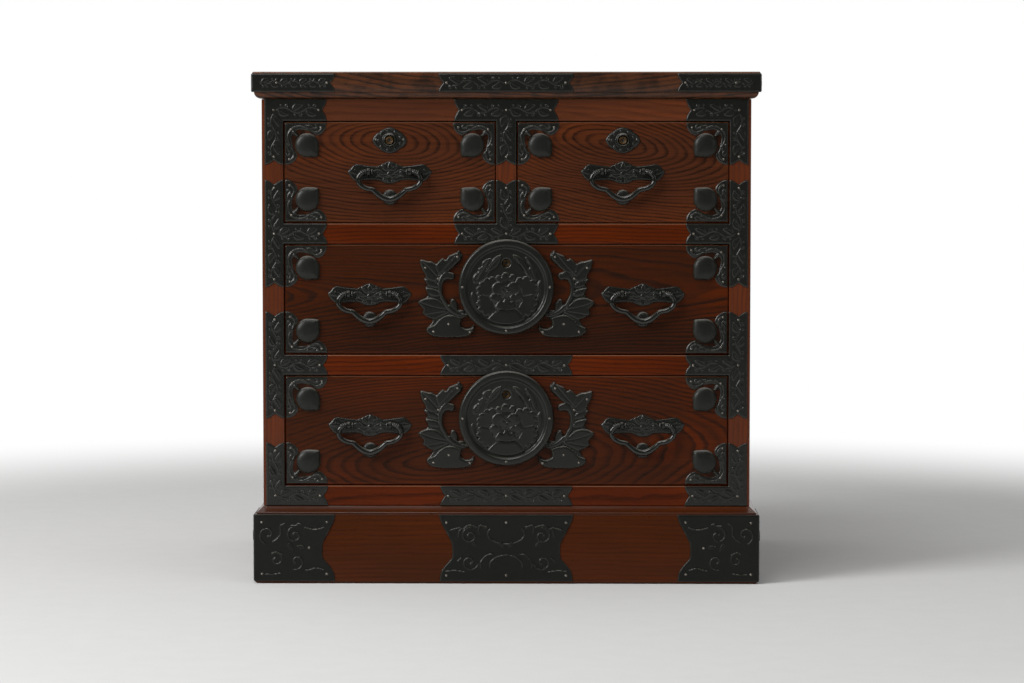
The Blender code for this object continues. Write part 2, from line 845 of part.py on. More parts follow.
def lock_plate():
    """Round lock plate with a raised rim and flower, its leaf wings and the keyhole."""
    skin = roundel_back + ROUNDEL_SKIN
    crest = roundel_back + ROUNDEL_RISE
    inner = ROUNDEL_RADIUS - ROUNDEL_RIM
    profile = [
        (0, plate_back),
        (lock_boss, plate_back),
        (lock_boss, roundel_back),
        (ROUNDEL_RADIUS, roundel_back),
        (ROUNDEL_RADIUS, skin),
        (ROUNDEL_RADIUS - ROUNDEL_RIM * 0.15, crest - ROUNDEL_SKIN * 0.5),
        (ROUNDEL_RADIUS - ROUNDEL_RIM * 0.45, crest),
        (ROUNDEL_RADIUS - ROUNDEL_RIM * 0.85, crest - ROUNDEL_SKIN * 0.5),
        (inner, skin),
        (ROUNDEL_FLOWER, skin),
        (ROUNDEL_FLOWER * 0.6, crest - ROUNDEL_SKIN * 0.5),
        (0, crest - ROUNDEL_SKIN * 0.5),
    ]
    wings = []
    for across in (-1, 1):
        outline = mirrored(leaf_outline(), -across, 1)
        wings.append(plate(outline, plate_back + SEAT, plate_back + SEAT + LEAF_THICKNESS))
    keyhole = moved(rod(plug_bore, -FRONT_THICKNESS, 2 * FRONT_THICKNESS), 0, 0, KEYHOLE_RISE)
    return combined(turned(profile, TURNED_STEPS), ("UNION", merged(wings)), ("DIFFERENCE", keyhole))


def lock_cylinder(nose):
    """Plug with a key slot, and the cam behind the front that turns up behind the rail."""
    back = -FRONT_THICKNESS - SEAT
    half = CAM_WIDTH / 2
    cam = plate(
        [(0, -half), *arc(cam_length - half, 0, half, -90, 90, 6), (0, half)],
        back - CAM_THICKNESS,
        back - SEAT,
    )
    plug = rod(PLUG_RADIUS, back - CAM_THICKNESS / 2, nose)
    slot = block(
        -SLOT_WIDTH / 2,
        SLOT_WIDTH / 2,
        -nose - SLOT_DEPTH,
        -nose + SLOT_DEPTH,
        -PLUG_RADIUS * 0.6,
        PLUG_RADIUS * 0.6,
    )
    return combined(plug, ("UNION", cam), ("DIFFERENCE", slot))


def add_drawer(name, middle, width, floor, height, handle_xs, handle_rise, round_lock):
    """A drawer on its own empty: front, box, handles and lock."""
    drawer = add_empty(name, (middle, body_front + FRONT_RECESS, floor))
    lock_height = height - TOP_PLAY - LOCK_DROP
    pivot = height / 2 + handle_rise
    studs = [(x, pivot - BAIL_DROP) for x, _ in handle_xs]
    front = drawer_front(width, height, studs, lock_height)
    add(name + "_front", front, "figured", parent=drawer)
    add(name + "_box", drawer_box(width, height), "bare", parent=drawer)
    for x, side in handle_xs:
        add(f"{name}{side}_handle_plate", handle_plate(), "iron", (x, 0, pivot), drawer)
        add(f"{name}{side}_bail", bail_shape(), "iron", (x, -PIVOT_OUT, pivot), drawer)
    if round_lock:
        at = (0, 0, lock_height - KEYHOLE_RISE)
        add(name + "_lock_plate", lock_plate(), "iron", at, drawer)
        nose = roundel_back + ROUNDEL_SKIN - PLUG_SET_BACK
    else:
        add(name + "_escutcheon", escutcheon(), "iron", (0, 0, lock_height), drawer)
        nose = plate_front + COLLAR_RISE - PLUG_SET_BACK
    add(name + "_lock_cylinder", lock_cylinder(nose), "brass", (0, 0, lock_height), drawer)


def add_drawers():
    narrow = opening_half - POST_WIDTH / 2
    middle = POST_WIDTH / 2 + narrow / 2
    single = [(0, "")]
    wing_reach = -min(x for x, _ in leaf_outline())
    reach = wing_reach + HANDLE_GAP + PLATE_WIDTH / 2
    pair = [(-reach, "_left"), (reach, "_right")]
    for name, across in (("upper_left_drawer", -1), ("upper_right_drawer", 1)):
        add_drawer(
            name, across * middle, narrow, upper_floor, UPPER_OPENING, single, UPPER_HANDLE_RISE, False
        )
    for name, floor in (("middle_drawer", middle_floor), ("bottom_drawer", bottom_floor)):
        add_drawer(
            name, 0, 2 * opening_half, floor, LOWER_OPENING, pair, LOWER_HANDLE_RISE, True
        )


def main():
    clear_scene()
    add_carcass()
    add_top_and_base()
    add_face_irons()
    add_edge_irons()
    add_drawers()


main()
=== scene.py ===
"""Finished look of a low lacquered drawer chest with black iron fittings.

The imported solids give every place, in metres. Ironwork is drawn flat in millimetres, u across and v up,
as a smith chases it in sheet iron, and is then laid on the face that carries it.
"""

import json
import math
from functools import cache

import bmesh
import bpy
import numpy as np
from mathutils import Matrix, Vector
from mathutils.geometry import delaunay_2d_cdt


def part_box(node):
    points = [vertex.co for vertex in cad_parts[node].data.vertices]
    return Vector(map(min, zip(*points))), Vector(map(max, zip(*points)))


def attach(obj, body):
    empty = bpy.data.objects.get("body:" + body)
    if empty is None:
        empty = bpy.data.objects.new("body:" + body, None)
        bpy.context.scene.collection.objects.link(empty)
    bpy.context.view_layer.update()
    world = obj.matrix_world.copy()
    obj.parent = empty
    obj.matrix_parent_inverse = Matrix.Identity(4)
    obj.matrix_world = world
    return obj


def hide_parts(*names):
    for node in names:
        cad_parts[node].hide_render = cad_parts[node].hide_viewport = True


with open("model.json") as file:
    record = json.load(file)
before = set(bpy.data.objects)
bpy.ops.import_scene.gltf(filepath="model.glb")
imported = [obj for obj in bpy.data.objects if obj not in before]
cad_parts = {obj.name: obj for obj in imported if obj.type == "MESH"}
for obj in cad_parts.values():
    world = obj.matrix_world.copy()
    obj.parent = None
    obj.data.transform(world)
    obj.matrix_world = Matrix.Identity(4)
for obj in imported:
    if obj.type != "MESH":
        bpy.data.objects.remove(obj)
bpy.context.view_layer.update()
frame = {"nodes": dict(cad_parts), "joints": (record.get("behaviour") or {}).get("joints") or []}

MM = 0.001

# Sheet iron, in millimetres
PITCH = 0.8
PLATE_PITCH = 0.9
FINE_PITCH = 0.7
IRON_BACK = 0.3
IRON_SHEET = 1.1
RIM_WIDTH = 1.7
RIM_DROP = 0.85
RIDGE = 0.25
VINE_LEAF = 12.5
VINE_RISE = 0.75
LOBE_EDGE = 2.8
NAIL_RADIUS = 1.5
NAIL_RISE = 0.9
NAIL_SEAT = 0.4
NAIL_INSET = 9.5
TRAIL_INSET = 9.0

# Irons on the face of the carcass, in millimetres
REACH = 52.0
CENTER_ARM = 50.0
NOTCH = 5.5
STILE = 22.2
POST = 24.0

# Folded irons of the top and the plinth, in millimetres
BEND = 0.5
TOP_LEAF = 9.0
TENDRIL = 0.95
TENDRIL_RISE = 1.0
TENDRIL_LINE = (1.0, 1.1)
PLINTH_NAIL_INSET = 9.0

# Drawers, in millimetres
FACE_SETBACK = 2.0
FRONT_THICKNESS = 20.0
FRONT_SPREAD = 0.3
BOARD_PITCH = 15.0
BORE = 5.1
CORNER_MARGIN = 0.9
CORNER_BACK = 0.05
CORNER_NAIL = 1.4
LEG_LENGTH = 49.5
PEACH_INSET = 26.5
PEACH_RADIUS = 14.5
PEACH_RISE = 5.6
PEACH_SKIN = 0.7
STUD_RADIUS = 9.3
STUD_RISE = 3.9
STUD_DROP = 30.4
BOX_WALL = 9.0
BOX_FLOOR = 7.0
BOX_SEAM = 0.1
FINGER_STEP = 0.2
BOX_EASE = 0.6

# Handles, in millimetres about the pivot
PIVOT_OUT = 8.0
PLATE_HALF = 50.0
EYE_MIDDLE = 24.5
EYE_LENGTH = 4.0
EYE_RADIUS = 4.3
EYE_BORE = 3.0
BAIL_RADIUS = 2.95
BAIL_GRIP = 3.7
BAIL_SHOULDER = 27.0
BAIL_HALF = 37.4
BAIL_WAIST = 9.0
BAIL_CUSP = 19.8
BAIL_CUSP_DROP = 20.8
BAIL_DROP = 32.6
BEAD_MIDDLE = 20.7
BEAD_RADIUS = 3.4
BEAD_HALF = 1.8
RIB_PACE = 2.0
RIB_RISE = 0.75
RIB_WIDTH = 0.55
PLATE_NAILS = [(-41, 2.5), (41, 2.5)]
PLATE_NAIL = 1.1

# Locks, in millimetres
ROUNDEL = 57.0
ROUNDEL_BACK = 4.1
ROUNDEL_SKIN = 2.0
ROUNDEL_CREST = 3.4
ROUNDEL_BOSS = 48.0
ROUNDEL_TOP = 53.0
ROUNDEL_NAILS = [(-52, 0), (52, 0), (0, -52)]
DISH = 45.5
DISH_WALL = 4.5
KEYHOLE_FLAT = 7.0
KEYHOLE_RISE = 28.5
PLUG_RADIUS = 4.6
PLUG_SUNK = 2.4
PLUG_FACE = 3.4
KEYWAY_RADIUS = 2.4
CAM_THICKNESS = 2.2
OVAL_HALF_WIDTH = 20.5
OVAL_HALF_HEIGHT = 15.5
COLLAR_RADIUS = 9.0
COLLAR_RISE = 4.4
OVAL_NAILS = [(-16.4, 1), (16.4, 1)]
OVAL_NAIL = 1.3

# Moulded boards, in millimetres
TOP_SLOPE = 8.0
TOP_LEDGE = 2.0
TOP_ROUND = 2.2
PLINTH_HEIGHT = 83.4
PLINTH_WALL = 20.0

# Creases that stay sharp, in degrees
IRON_CREASE = 55
BOARD_CREASE = 60
MOULDING_CREASE = 38

# Counts, and shares from 0 to 1
RIBS = 4
BAIL_SIDES = 14
BOX_FINGERS = 5
PEACH_TIP = 0.97
BACK_WEAR = 0.2
TURNED_WEAR = 0.2
BAIL_WEAR = 0.3
EDGE_WEAR = 0.6

# Places taken from the frame, in metres
body_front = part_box("left_side")[0].y
face = body_front + FACE_SETBACK * MM
top_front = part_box("top_board")[0].y
top_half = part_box("top_board")[1].x
pivot_of = {joint["child"]: Vector(joint["pos_m"]) for joint in frame["joints"] if "pos_m" in joint}


# Curves and distances in a sheet


def smooth(points, closed=False, steps=6):
    """Points along a rounded curve through the given ones."""
    points = np.asarray(points, float)
    count = len(points)
    rows = []
    for i in range(count if closed else count - 1):
        if closed:
            before, start, end, after = (points[(i + k) % count] for k in (-1, 0, 1, 2))
        else:
            start, end = points[i], points[i + 1]
            before = points[max(i - 1, 0)]
            after = points[min(i + 2, count - 1)]
        share = np.arange(steps)[:, None] / steps
        bend = 2 * before - 5 * start + 4 * end - after
        twist = 3 * start - before - 3 * end + after
        rows.append(start + 0.5 * ((end - before) * share + bend * share**2 + twist * share**3))
    if not closed:
        rows.append(points[-1:])
    return np.concatenate(rows)


def arc(middle, radius, first, last, steps):
    """Points on a circle between two angles in degrees."""
    angles = np.radians(np.linspace(first, last, steps + 1))
    return np.stack([middle[0] + radius * np.cos(angles), middle[1] + radius * np.sin(angles)], 1)


def circle(radius, steps, middle=(0, 0)):
    """A closed loop of points on a circle."""
    return arc(middle, radius, 0, 360, steps)[:-1]


def spaced(loop, pitch):
    """A closed loop with no two neighbours further apart than the pitch."""
    loop = np.asarray(loop, float)
    rows = []
    for start, end in zip(loop, np.roll(loop, -1, axis=0)):
        steps = max(1, math.ceil(np.hypot(*(end - start)) / pitch))
        rows.append(start + (end - start) * np.arange(steps)[:, None] / steps)
    return np.concatenate(rows)


def nearest(at, path):
    """Distance of each point from a path, and how far along the path its nearest spot is, 0 to 1."""
    best = np.full(len(at), np.inf)
    share = np.zeros(len(at))
    pieces = len(path) - 1
    for i in range(pieces):
        way = path[i + 1] - path[i]
        run = np.clip((at - path[i]) @ way / max(way @ way, 1e-9), 0, 1)
        gap = np.hypot(*(at - path[i] - run[:, None] * way).T)
        closer = gap < best
        best[closer] = gap[closer]
        share[closer] = ((i + run) / pieces)[closer]
    return best, share


def within(at, loops):
    """Which points lie inside the first loop and outside the others."""
    odd = np.zeros(len(at), bool)
    for loop in loops:
        for start, end in zip(loop, np.roll(loop, -1, axis=0)):
            if start[1] == end[1]:
                continue
            spans = (start[1] > at[:, 1]) != (end[1] > at[:, 1])
            cross = start[0] + (at[:, 1] - start[1]) * (end[0] - start[0]) / (end[1] - start[1])
            odd ^= spans & (at[:, 0] < cross)
    return odd


def eased(value):
    """A step from 0 to 1 with soft ends."""
    value = np.clip(value, 0, 1)
    return value * value * (3 - 2 * value)


class Sheet:
    """A sheet of iron cut to an outline, with relief chased into it. Millimetres."""

    def __init__(self, outline, holes=(), pitch=PITCH, rows=()):
        self.loops = [spaced(loop, pitch) for loop in (outline, *holes)]
        rim = np.concatenate(self.loops)
        low, high = rim.min(0), rim.max(0)
        across = np.arange(low[0], high[0], pitch)
        up = np.arange(low[1], high[1], pitch * math.sqrt(0.75))
        grid_u, grid_v = np.meshgrid(across, up)
        grid_u[1::2] += pitch / 2
        grid = np.stack([grid_u.ravel(), grid_v.ravel()], 1)
        grid = np.concatenate(rows) if rows else grid[within(grid, self.loops)]
        gap = np.full(len(grid), np.inf)
        for loop in self.loops:
            gap = np.minimum(gap, nearest(grid, np.concatenate([loop, loop[:1]]))[0])
        clear = np.ones(len(grid), bool) if rows else gap > pitch * 0.55
        self.at = np.concatenate([rim, grid[clear]])
        self.gap = np.concatenate([np.zeros(len(rim)), gap[clear]])
        self.rim = len(rim)
        self.rise = np.zeros(len(self.at))
        self.edges = []
        start = 0
        for loop in self.loops:
            count = len(loop)
            self.edges += [(start + i, start + (i + 1) % count) for i in range(count)]
            start += count
        self.faces = self.filled(self.at)
        self.back_faces = self.filled(rim)

    def filled(self, at):
        """Triangles over these points, inside the outline and outside its holes."""
        inside, same_point = 1, 1e-7
        made = delaunay_2d_cdt([Vector(p) for p in at], self.edges, [], inside, same_point)
        faces = np.array(made[2])
        return faces[within(at[faces].mean(1), self.loops)]

    def near(self, path, reach):
        """Which points lie within reach of a path's own box."""
        low = np.min(path, axis=0) - reach
        high = np.max(path, axis=0) + reach
        return np.flatnonzero(((self.at > low) & (self.at < high)).all(1))

    def stem(self, path, half_width, rise, tip=None):
        """A raised line that thins towards its tip."""
        path = np.asarray(path, float)
        near = self.near(path, half_width)
        gap, share = nearest(self.at[near], path)
        width = half_width + ((half_width if tip is None else tip) - half_width) * share
        lift = rise * np.clip(1 - (gap / width) ** 2, 0, 1)
        self.rise[near] = np.maximum(self.rise[near], lift)

    def vein(self, path, half_width, depth):
        """A line cut into whatever relief is there."""
        path = np.asarray(path, float)
        near = self.near(path, half_width)
        gap, _ = nearest(self.at[near], path)
        self.rise[near] -= depth * np.clip(1 - (gap / half_width) ** 2, 0, 1)

    def leaf(self, root, tip, half_width, rise, bend=0.0):
        """A pointed leaf with full sides and a cut midrib."""
        root, tip = np.asarray(root, float), np.asarray(tip, float)
        way = tip - root
        length = np.hypot(*way)
        side = np.array([-way[1], way[0]]) / length
        share = (self.at - root) @ way / length**2
        run = np.clip(share, 0, 1)
        off = (self.at - root) @ side - bend * np.sin(math.pi * run)
        width = half_width * np.sin(math.pi * run**0.75) ** 0.8 + 1e-6
        inside = (share > 0) & (share < 1) & (np.abs(off) < width)
        lift = rise * np.sqrt(np.clip(1 - np.abs(off / width) ** 3, 0, 1))
        lift -= 0.5 * rise * np.exp(-((off / 0.6) ** 2)) * (run < 0.85)
        self.rise[inside] = np.maximum(self.rise, lift)[inside]

    def boss(self, middle, radius, rise, level=0.0):
        """A round knob."""
        far = np.hypot(*(self.at - middle).T) / radius
        inside = far < 1
        lift = level + rise * np.sqrt(np.clip(1 - far**2, 0, 1))
        self.rise[inside] = np.maximum(self.rise, lift)[inside]

    def lobed(self, root, lobes, level, lift):
        """A petal over what was there: lobes as (u, v, radius) fan out from a root, full at their edge."""
        root = np.asarray(root, float)
        middles = np.array(lobes)[:, :2]
        depth = np.full(len(self.at), -np.inf)
        for u, v, radius in lobes:
            depth = np.maximum(depth, radius - np.hypot(self.at[:, 0] - u, self.at[:, 1] - v))
        first, last = middles[0] - root, middles[-1] - root
        hand = -1 if first[0] * last[1] - first[1] * last[0] < 0 else 1
        off = self.at - root
        flank = np.full(len(self.at), np.inf)
        corners = []
        for way, radius, side in ((first, lobes[0][2], -hand), (last, lobes[-1][2], hand)):
            far = np.hypot(*way)
            swing = side * math.asin(min(radius / far, 1))
            c, s = math.cos(swing), math.sin(swing)
            along = np.array((way[0] * c - way[1] * s, way[0] * s + way[1] * c)) / far
            corners.append(root + along * math.sqrt(max(far**2 - radius**2, 0)))
            flank = np.minimum(flank, np.abs(off[:, 0] * along[1] - off[:, 1] * along[0]))
        fan = within(self.at, [np.array([root, corners[0], *middles, corners[1]])])
        depth = np.where(fan, np.maximum(depth, flank), depth)
        inside = depth > 0
        full = np.sqrt(1 - (1 - np.clip(depth / LOBE_EDGE, 0, 1)) ** 2)
        bowl = np.clip(np.hypot(*off.T) / np.hypot(*(middles - root).T).max(), 0, 1)
        self.rise[inside] = (level + lift * full * (0.5 + 0.5 * bowl))[inside]

    def pad(self, outline, level, rise, edge=LOBE_EDGE):
        """A full leaf or bud with a rounded edge, over what was there."""
        loop = smooth(outline, closed=True, steps=4)
        near = self.near(loop, 0)
        near = near[within(self.at[near], [loop])]
        depth = nearest(self.at[near], np.concatenate([loop, loop[:1]]))[0]
        run = np.clip(depth / edge, 0, 1)
        self.rise[near] = level + rise * np.sqrt(1 - (1 - run) ** 2)

    def scroll(self, middle, radius, start, turns, half_width, rise):
        """A tendril that winds in to a bud; turns are negative when it winds to the right."""
        share = np.linspace(0, 1, 40)
        angles = math.radians(start) + 2 * math.pi * turns * share
        radii = radius * (1 - 0.78 * share)
        path = np.stack([middle[0] + radii * np.cos(angles), middle[1] + radii * np.sin(angles)], 1)
        self.stem(path, half_width, rise)
        self.boss(path[-1], half_width * 1.7, rise * 1.2)

    def trail(self, start, end, hand=1, leaf=VINE_LEAF):
        """A winding stem with a broad leaf lying in each bend, and a curl and a bud across from it."""
        start, end = np.asarray(start, float), np.asarray(end, float)
        length = np.hypot(*(end - start))
        forward = (end - start) / length
        side = hand * np.array([-forward[1], forward[0]])
        bends = max(1, round(length / (leaf * 1.3)))
        pace = length / bends
        sway = leaf * 0.26
        share = np.linspace(0, 1, 12 * bends)
        path = start + np.outer(share * length, forward)
        path += np.outer(sway * np.sin(math.pi * bends * share), side)
        self.stem(path, 0.9, VINE_RISE * 0.8, tip=0.6)
        for i in range(bends):
            way = hand * (-1) ** i
            out = side * (-1) ** i
            root = start + forward * (pace * (i + 0.1))
            tip = root + forward * leaf * 0.98 - out * leaf * 0.45
            self.leaf(root, tip, leaf * 0.29, VINE_RISE, bend=-way * leaf * 0.12)
            crest = start + forward * (pace * (i + 0.5)) + out * sway
            turn = math.degrees(math.atan2(-out[1], -out[0]))
            curl = crest + forward * leaf * 0.24 + out * leaf * 0.14
            self.scroll(curl, leaf * 0.2, turn, way * 0.9, 0.65, VINE_RISE * 0.8)
            self.boss(crest - forward * leaf * 0.28 + out * leaf * 0.2, 1.2, VINE_RISE * 0.9)

    def tops(self, thickness):
        """Height of the front face over the back of the sheet, with its edge hammered round."""
        fade = np.clip(self.gap / RIM_WIDTH, 0, 1)
        return thickness + self.rise * eased(fade * 1.4) - RIM_DROP * (1 - fade) ** 2

    def worn(self):
        """How bright handling has left each point: ridges and cut edges most."""
        height = self.tops(0.0)
        beside = np.zeros(len(height))
        count = np.zeros(len(height))
        for start, end in ((0, 1), (1, 2), (2, 0), (1, 0), (2, 1), (0, 2)):
            np.add.at(beside, self.faces[:, start], height[self.faces[:, end]])
            np.add.at(count, self.faces[:, start], 1)
        ridge = np.clip((height - beside / np.maximum(count, 1)) / RIDGE, 0, 1)
        edge = np.exp(-((self.gap / 0.6) ** 2))
        edge[len(self.loops[0]) : self.rim] = 0
        return np.clip(ridge + EDGE_WEAR * edge, 0, 1)

    def crown(self, spot):
        """Relief at one place."""
        return self.rise[np.argmin(np.hypot(*(self.at - spot).T))]


# Laying sheets on the chest


def on_front(x, y, z, across=1, upside=1):
    """Lays a sheet on a front face at a point in metres, with its height towards the viewer."""

    def place(u, v, height):
        return np.stack([x + across * u * MM, y - height * MM + 0 * u, z + upside * v * MM], 1)

    return place


def round_corner(across, z):
    """Lays a sheet round a front corner of the top or plinth: u is negative on the front."""
    corner_x = across * top_half - across * BEND * MM
    corner_y = top_front + BEND * MM
    half = BEND * math.pi / 4

    def place(u, v, height):
        turn = np.clip((u + half) / (2 * half), 0, 1) * math.pi / 2
        radius = BEND + height
        run_x = radius * np.sin(turn) + np.minimum(u + half, 0)
        run_y = np.maximum(u - half, 0) - radius * np.cos(turn)
        return np.stack([corner_x + across * run_x * MM, corner_y + run_y * MM, z + v * MM], 1)

    return place


@cache
def nail_head(radius):
    """Domed head of a nail."""
    dome = Sheet(circle(radius, 12), pitch=radius * 0.45)
    dome.rise = NAIL_RISE * np.sqrt(np.clip(1.02 - (np.hypot(*dome.at.T) / radius) ** 2, 0, 1))
    dome.gap += RIM_WIDTH
    return dome


def tube(rings, sides):
    """Faces over rings of points, one ring after another, closed at both ends."""
    faces = [list(range(sides))[::-1]]
    for i in range(rings - 1):
        for k in range(sides):
            j = (k + 1) % sides
            faces.append([i * sides + k, i * sides + j, (i + 1) * sides + j, (i + 1) * sides + k])
    faces.append([(rings - 1) * sides + k for k in range(sides)])
    return faces


class Shape:
    """Points, faces and finishes gathered into one piece of the chest."""

    def __init__(self):
        self.points = []
        self.faces = []
        self.finish_of = []
        self.worn = []
        self.count = 0

    def add(self, points, faces, finish=0, worn=0.0):
        """Points in metres, and faces by their corners."""
        self.points.append(np.asarray(points, float))
        self.faces += [[corner + self.count for corner in face] for face in faces]
        self.finish_of += [finish] * len(faces)
        self.worn.append(np.broadcast_to(worn, len(points)))
        self.count += len(points)

    def add_sheet(self, sheet, place, back=IRON_BACK, thickness=IRON_SHEET, finish=0):
        """The sheet with its front relief, its cut edge and a flat back."""
        u, v = sheet.at.T
        front = place(u, v, back + sheet.tops(thickness))
        rear = place(u[: sheet.rim], v[: sheet.rim], np.full(sheet.rim, back))
        count = len(front)
        faces = sheet.faces.tolist()
        faces += [[b, a, a + count, b + count] for a, b in sheet.edges]
        faces += [[c + count for c in reversed(face)] for face in sheet.back_faces.tolist()]
        first = front[sheet.faces[0]]
        facing = np.cross(first[1] - first[0], first[2] - first[0])
        spot = sheet.faces[0][:1]
        out = place(u[spot], v[spot], np.full(1, back + 10.0)) - place(u[spot], v[spot], np.full(1, back))
        if facing @ out[0] < 0:
            faces = [face[::-1] for face in faces]
        worn = np.concatenate([sheet.worn(), np.full(sheet.rim, BACK_WEAR)])
        self.add(np.concatenate([front, rear]), faces, finish, worn)

    def refinish_faces(self, sheet, chosen, finish):
        """Gives the front faces of the sheet added last, where all points are chosen, another finish."""
        back = len(sheet.faces) + len(sheet.edges) + len(sheet.back_faces)
        first = len(self.finish_of) - back
        for i in np.flatnonzero(chosen[sheet.faces].all(1)):
            self.finish_of[first + i] = finish

    def add_nails(self, sheet, spots, place, back=IRON_BACK, thickness=IRON_SHEET, radius=NAIL_RADIUS):
        """Round-headed nails standing on the sheet."""
        for spot in spots:

            def place_nail(u, v, rise, middle=spot):
                return place(u + middle[0], v + middle[1], rise)

            height = back + thickness + sheet.crown(spot)
            self.add_sheet(nail_head(radius), place_nail, height - NAIL_SEAT, NAIL_SEAT, finish=1)

    def add_turned(self, profile, place, steps):
        """A turned shape: (radius, height) pairs from the back to the front, in millimetres."""
        angles = np.arange(steps) * 2 * math.pi / steps
        rings = []
        for radius, height in profile:
            u, v = radius * np.cos(angles), radius * np.sin(angles)
            rings.append(place(u, v, np.full(steps, float(height))))
        self.add(np.concatenate(rings), tube(len(profile), steps), worn=TURNED_WEAR)

    def add_swept(self, path, radii, place, sides, worn):
        """A round bar along a flat path, in millimetres."""
        path = np.asarray(path, float)
        way = np.gradient(path, axis=0)
        way /= np.hypot(*way.T)[:, None]
        angles = np.arange(sides) * 2 * math.pi / sides
        across = np.outer(radii, np.cos(angles))
        out = np.outer(radii, np.sin(angles))
        u = path[:, :1] - way[:, 1:] * across
        v = path[:, 1:] + way[:, :1] * across
        points = place(u.ravel(), v.ravel(), out.ravel())
        self.add(points, [face[::-1] for face in tube(len(path), sides)], worn=worn)

    def piece(self, name, finishes, body, replaces=(), crease=IRON_CREASE):
        """The finished object, riding on its body."""
        mesh = bpy.data.meshes.new(name)
        mesh.from_pydata(np.concatenate(self.points), [], self.faces)
        mesh.polygons.foreach_set("material_index", self.finish_of)
        worn = mesh.attributes.new("worn", "FLOAT", "POINT")
        worn.data.foreach_set("value", np.concatenate(self.worn).astype(np.float32))
        for finish in finishes:
            mesh.materials.append(finish)
        mesh.shade_smooth()
        mesh.set_sharp_from_angle(angle=math.radians(crease))
        fitted(bpy.data.objects.new(name, mesh), body, replaces)


def fitted(obj, body, replaces=()):
    """Links a piece, sets it riding on its body and hides the solids it stands for."""
    bpy.context.scene.collection.objects.link(obj)
    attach(obj, body)
    if replaces:
        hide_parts(*replaces)
    return obj


# Finishes


class Value:
    """A shader socket that takes part in Python arithmetic."""

    def __init__(self, finish, socket):
        self.finish = finish
        self.socket = socket

    def maths(self, operation, *values):
        sockets = dict(enumerate(values))
        return self.finish.node("ShaderNodeMath", {"operation": operation}, sockets)

    def __add__(self, other):
        return self.maths("ADD", self, other)

    def __radd__(self, other):
        return self.maths("ADD", other, self)

    def __sub__(self, other):
        return self.maths("SUBTRACT", self, other)

    def __rsub__(self, other):
        return self.maths("SUBTRACT", other, self)

    def __mul__(self, other):
        return self.maths("MULTIPLY", self, other)

    def __rmul__(self, other):
        return self.maths("MULTIPLY", other, self)

    def __truediv__(self, other):
        return self.maths("DIVIDE", self, other)

    def __rtruediv__(self, other):
        return self.maths("DIVIDE", other, self)

    def root(self):
        return self.maths("SQRT", self)

    def part(self):
        return self.maths("FRACT", self)

    def size(self):
        return self.maths("ABSOLUTE", self)

    def clamped(self):
        sockets = {"Value": self, "Min": 0.0, "Max": 1.0}
        return self.finish.node("ShaderNodeClamp", {}, sockets)

    def spread(self, low, high, to_low=0.0, to_high=1.0):
        """This value stretched from one range to another, held at the ends."""
        sockets = {"Value": self, "From Min": low, "From Max": high, "To Min": to_low, "To Max": to_high}
        return self.finish.node("ShaderNodeMapRange", {"interpolation_type": "SMOOTHSTEP"}, sockets)


class Finish:
    """The nodes of one finish."""

    def __init__(self, owner):
        owner.use_nodes = True
        self.owner = owner
        self.tree = owner.node_tree
        self.tree.nodes.clear()

    def node(self, kind, settings, sockets, out=0):
        """Adds a node with its settings, then its socket values or links, and gives one output."""
        made = self.tree.nodes.new(kind)
        for key, setting in settings.items():
            setattr(made, key, setting)
        for key, value in sockets.items():
            if isinstance(value, Value):
                self.tree.links.new(value.socket, made.inputs[key])
            else:
                made.inputs[key].default_value = value
        return Value(self, made.outputs[out]) if made.outputs else None

    def place(self):
        """Place on the piece, in metres."""
        return self.node("ShaderNodeTexCoord", {}, {}, "Object")

    def axes(self, place):
        return [self.node("ShaderNodeSeparateXYZ", {}, {"Vector": place}, axis) for axis in "XYZ"]

    def worn(self):
        """How bright handling has left the piece."""
        return self.node("ShaderNodeAttribute", {"attribute_name": "worn"}, {}, "Fac")

    def rays(self):
        """Which rays come straight from the viewer, by way of a gloss, and through something clear."""
        kinds = ("Is Camera Ray", "Is Glossy Ray", "Is Transmission Ray")
        return [self.node("ShaderNodeLightPath", {}, {}, kind) for kind in kinds]

    def upward(self):
        """How far a face looks up when the piece is at rest."""
        facing = self.node("ShaderNodeNewGeometry", {}, {}, "True Normal")
        settings = {"vector_type": "NORMAL", "convert_from": "WORLD", "convert_to": "OBJECT"}
        return self.axes(self.node("ShaderNodeVectorTransform", settings, {"Vector": facing}))[2]

    def stretched(self, place, factors):
        sockets = {0: place, 1: tuple(factors)}
        return self.node("ShaderNodeVectorMath", {"operation": "MULTIPLY"}, sockets)

    def shifted(self, place, offset):
        return self.node("ShaderNodeVectorMath", {"operation": "ADD"}, {0: place, 1: offset})

    def noise(self, place, scale, detail, rough=0.5):
        sockets = {"Vector": place, "Scale": scale, "Detail": detail, "Roughness": rough}
        return self.node("ShaderNodeTexNoise", {}, sockets)

    def cells(self, place, scale):
        return self.node("ShaderNodeTexVoronoi", {}, {"Vector": place, "Scale": scale})

    def mixed(self, first, second, share):
        """Colour between two others."""
        return self.node("ShaderNodeMix", {"data_type": "RGBA"}, {0: share, 6: first, 7: second}, 2)

    def bumped(self, height, strength, distance):
        sockets = {"Height": height, "Strength": strength, "Distance": distance}
        return self.node("ShaderNodeBump", {}, sockets)

    def surface(self, **sockets):
        """The shader, with every socket named as on the shader."""
        named = {key.replace("_", " "): value for key, value in sockets.items()}
        shader = self.node("ShaderNodeBsdfPrincipled", {}, named)
        self.node("ShaderNodeOutputMaterial", {}, {"Surface": shader})
        return self.owner


def colour(red, green, blue):
    """Screen values from 0 to 255 as a linear colour."""
    linear = []
    for value in (red, green, blue):
        share = value / 255
        linear.append(share / 12.92 if share <= 0.04045 else ((share + 0.055) / 1.055) ** 2.4)
    return (*linear, 1.0)


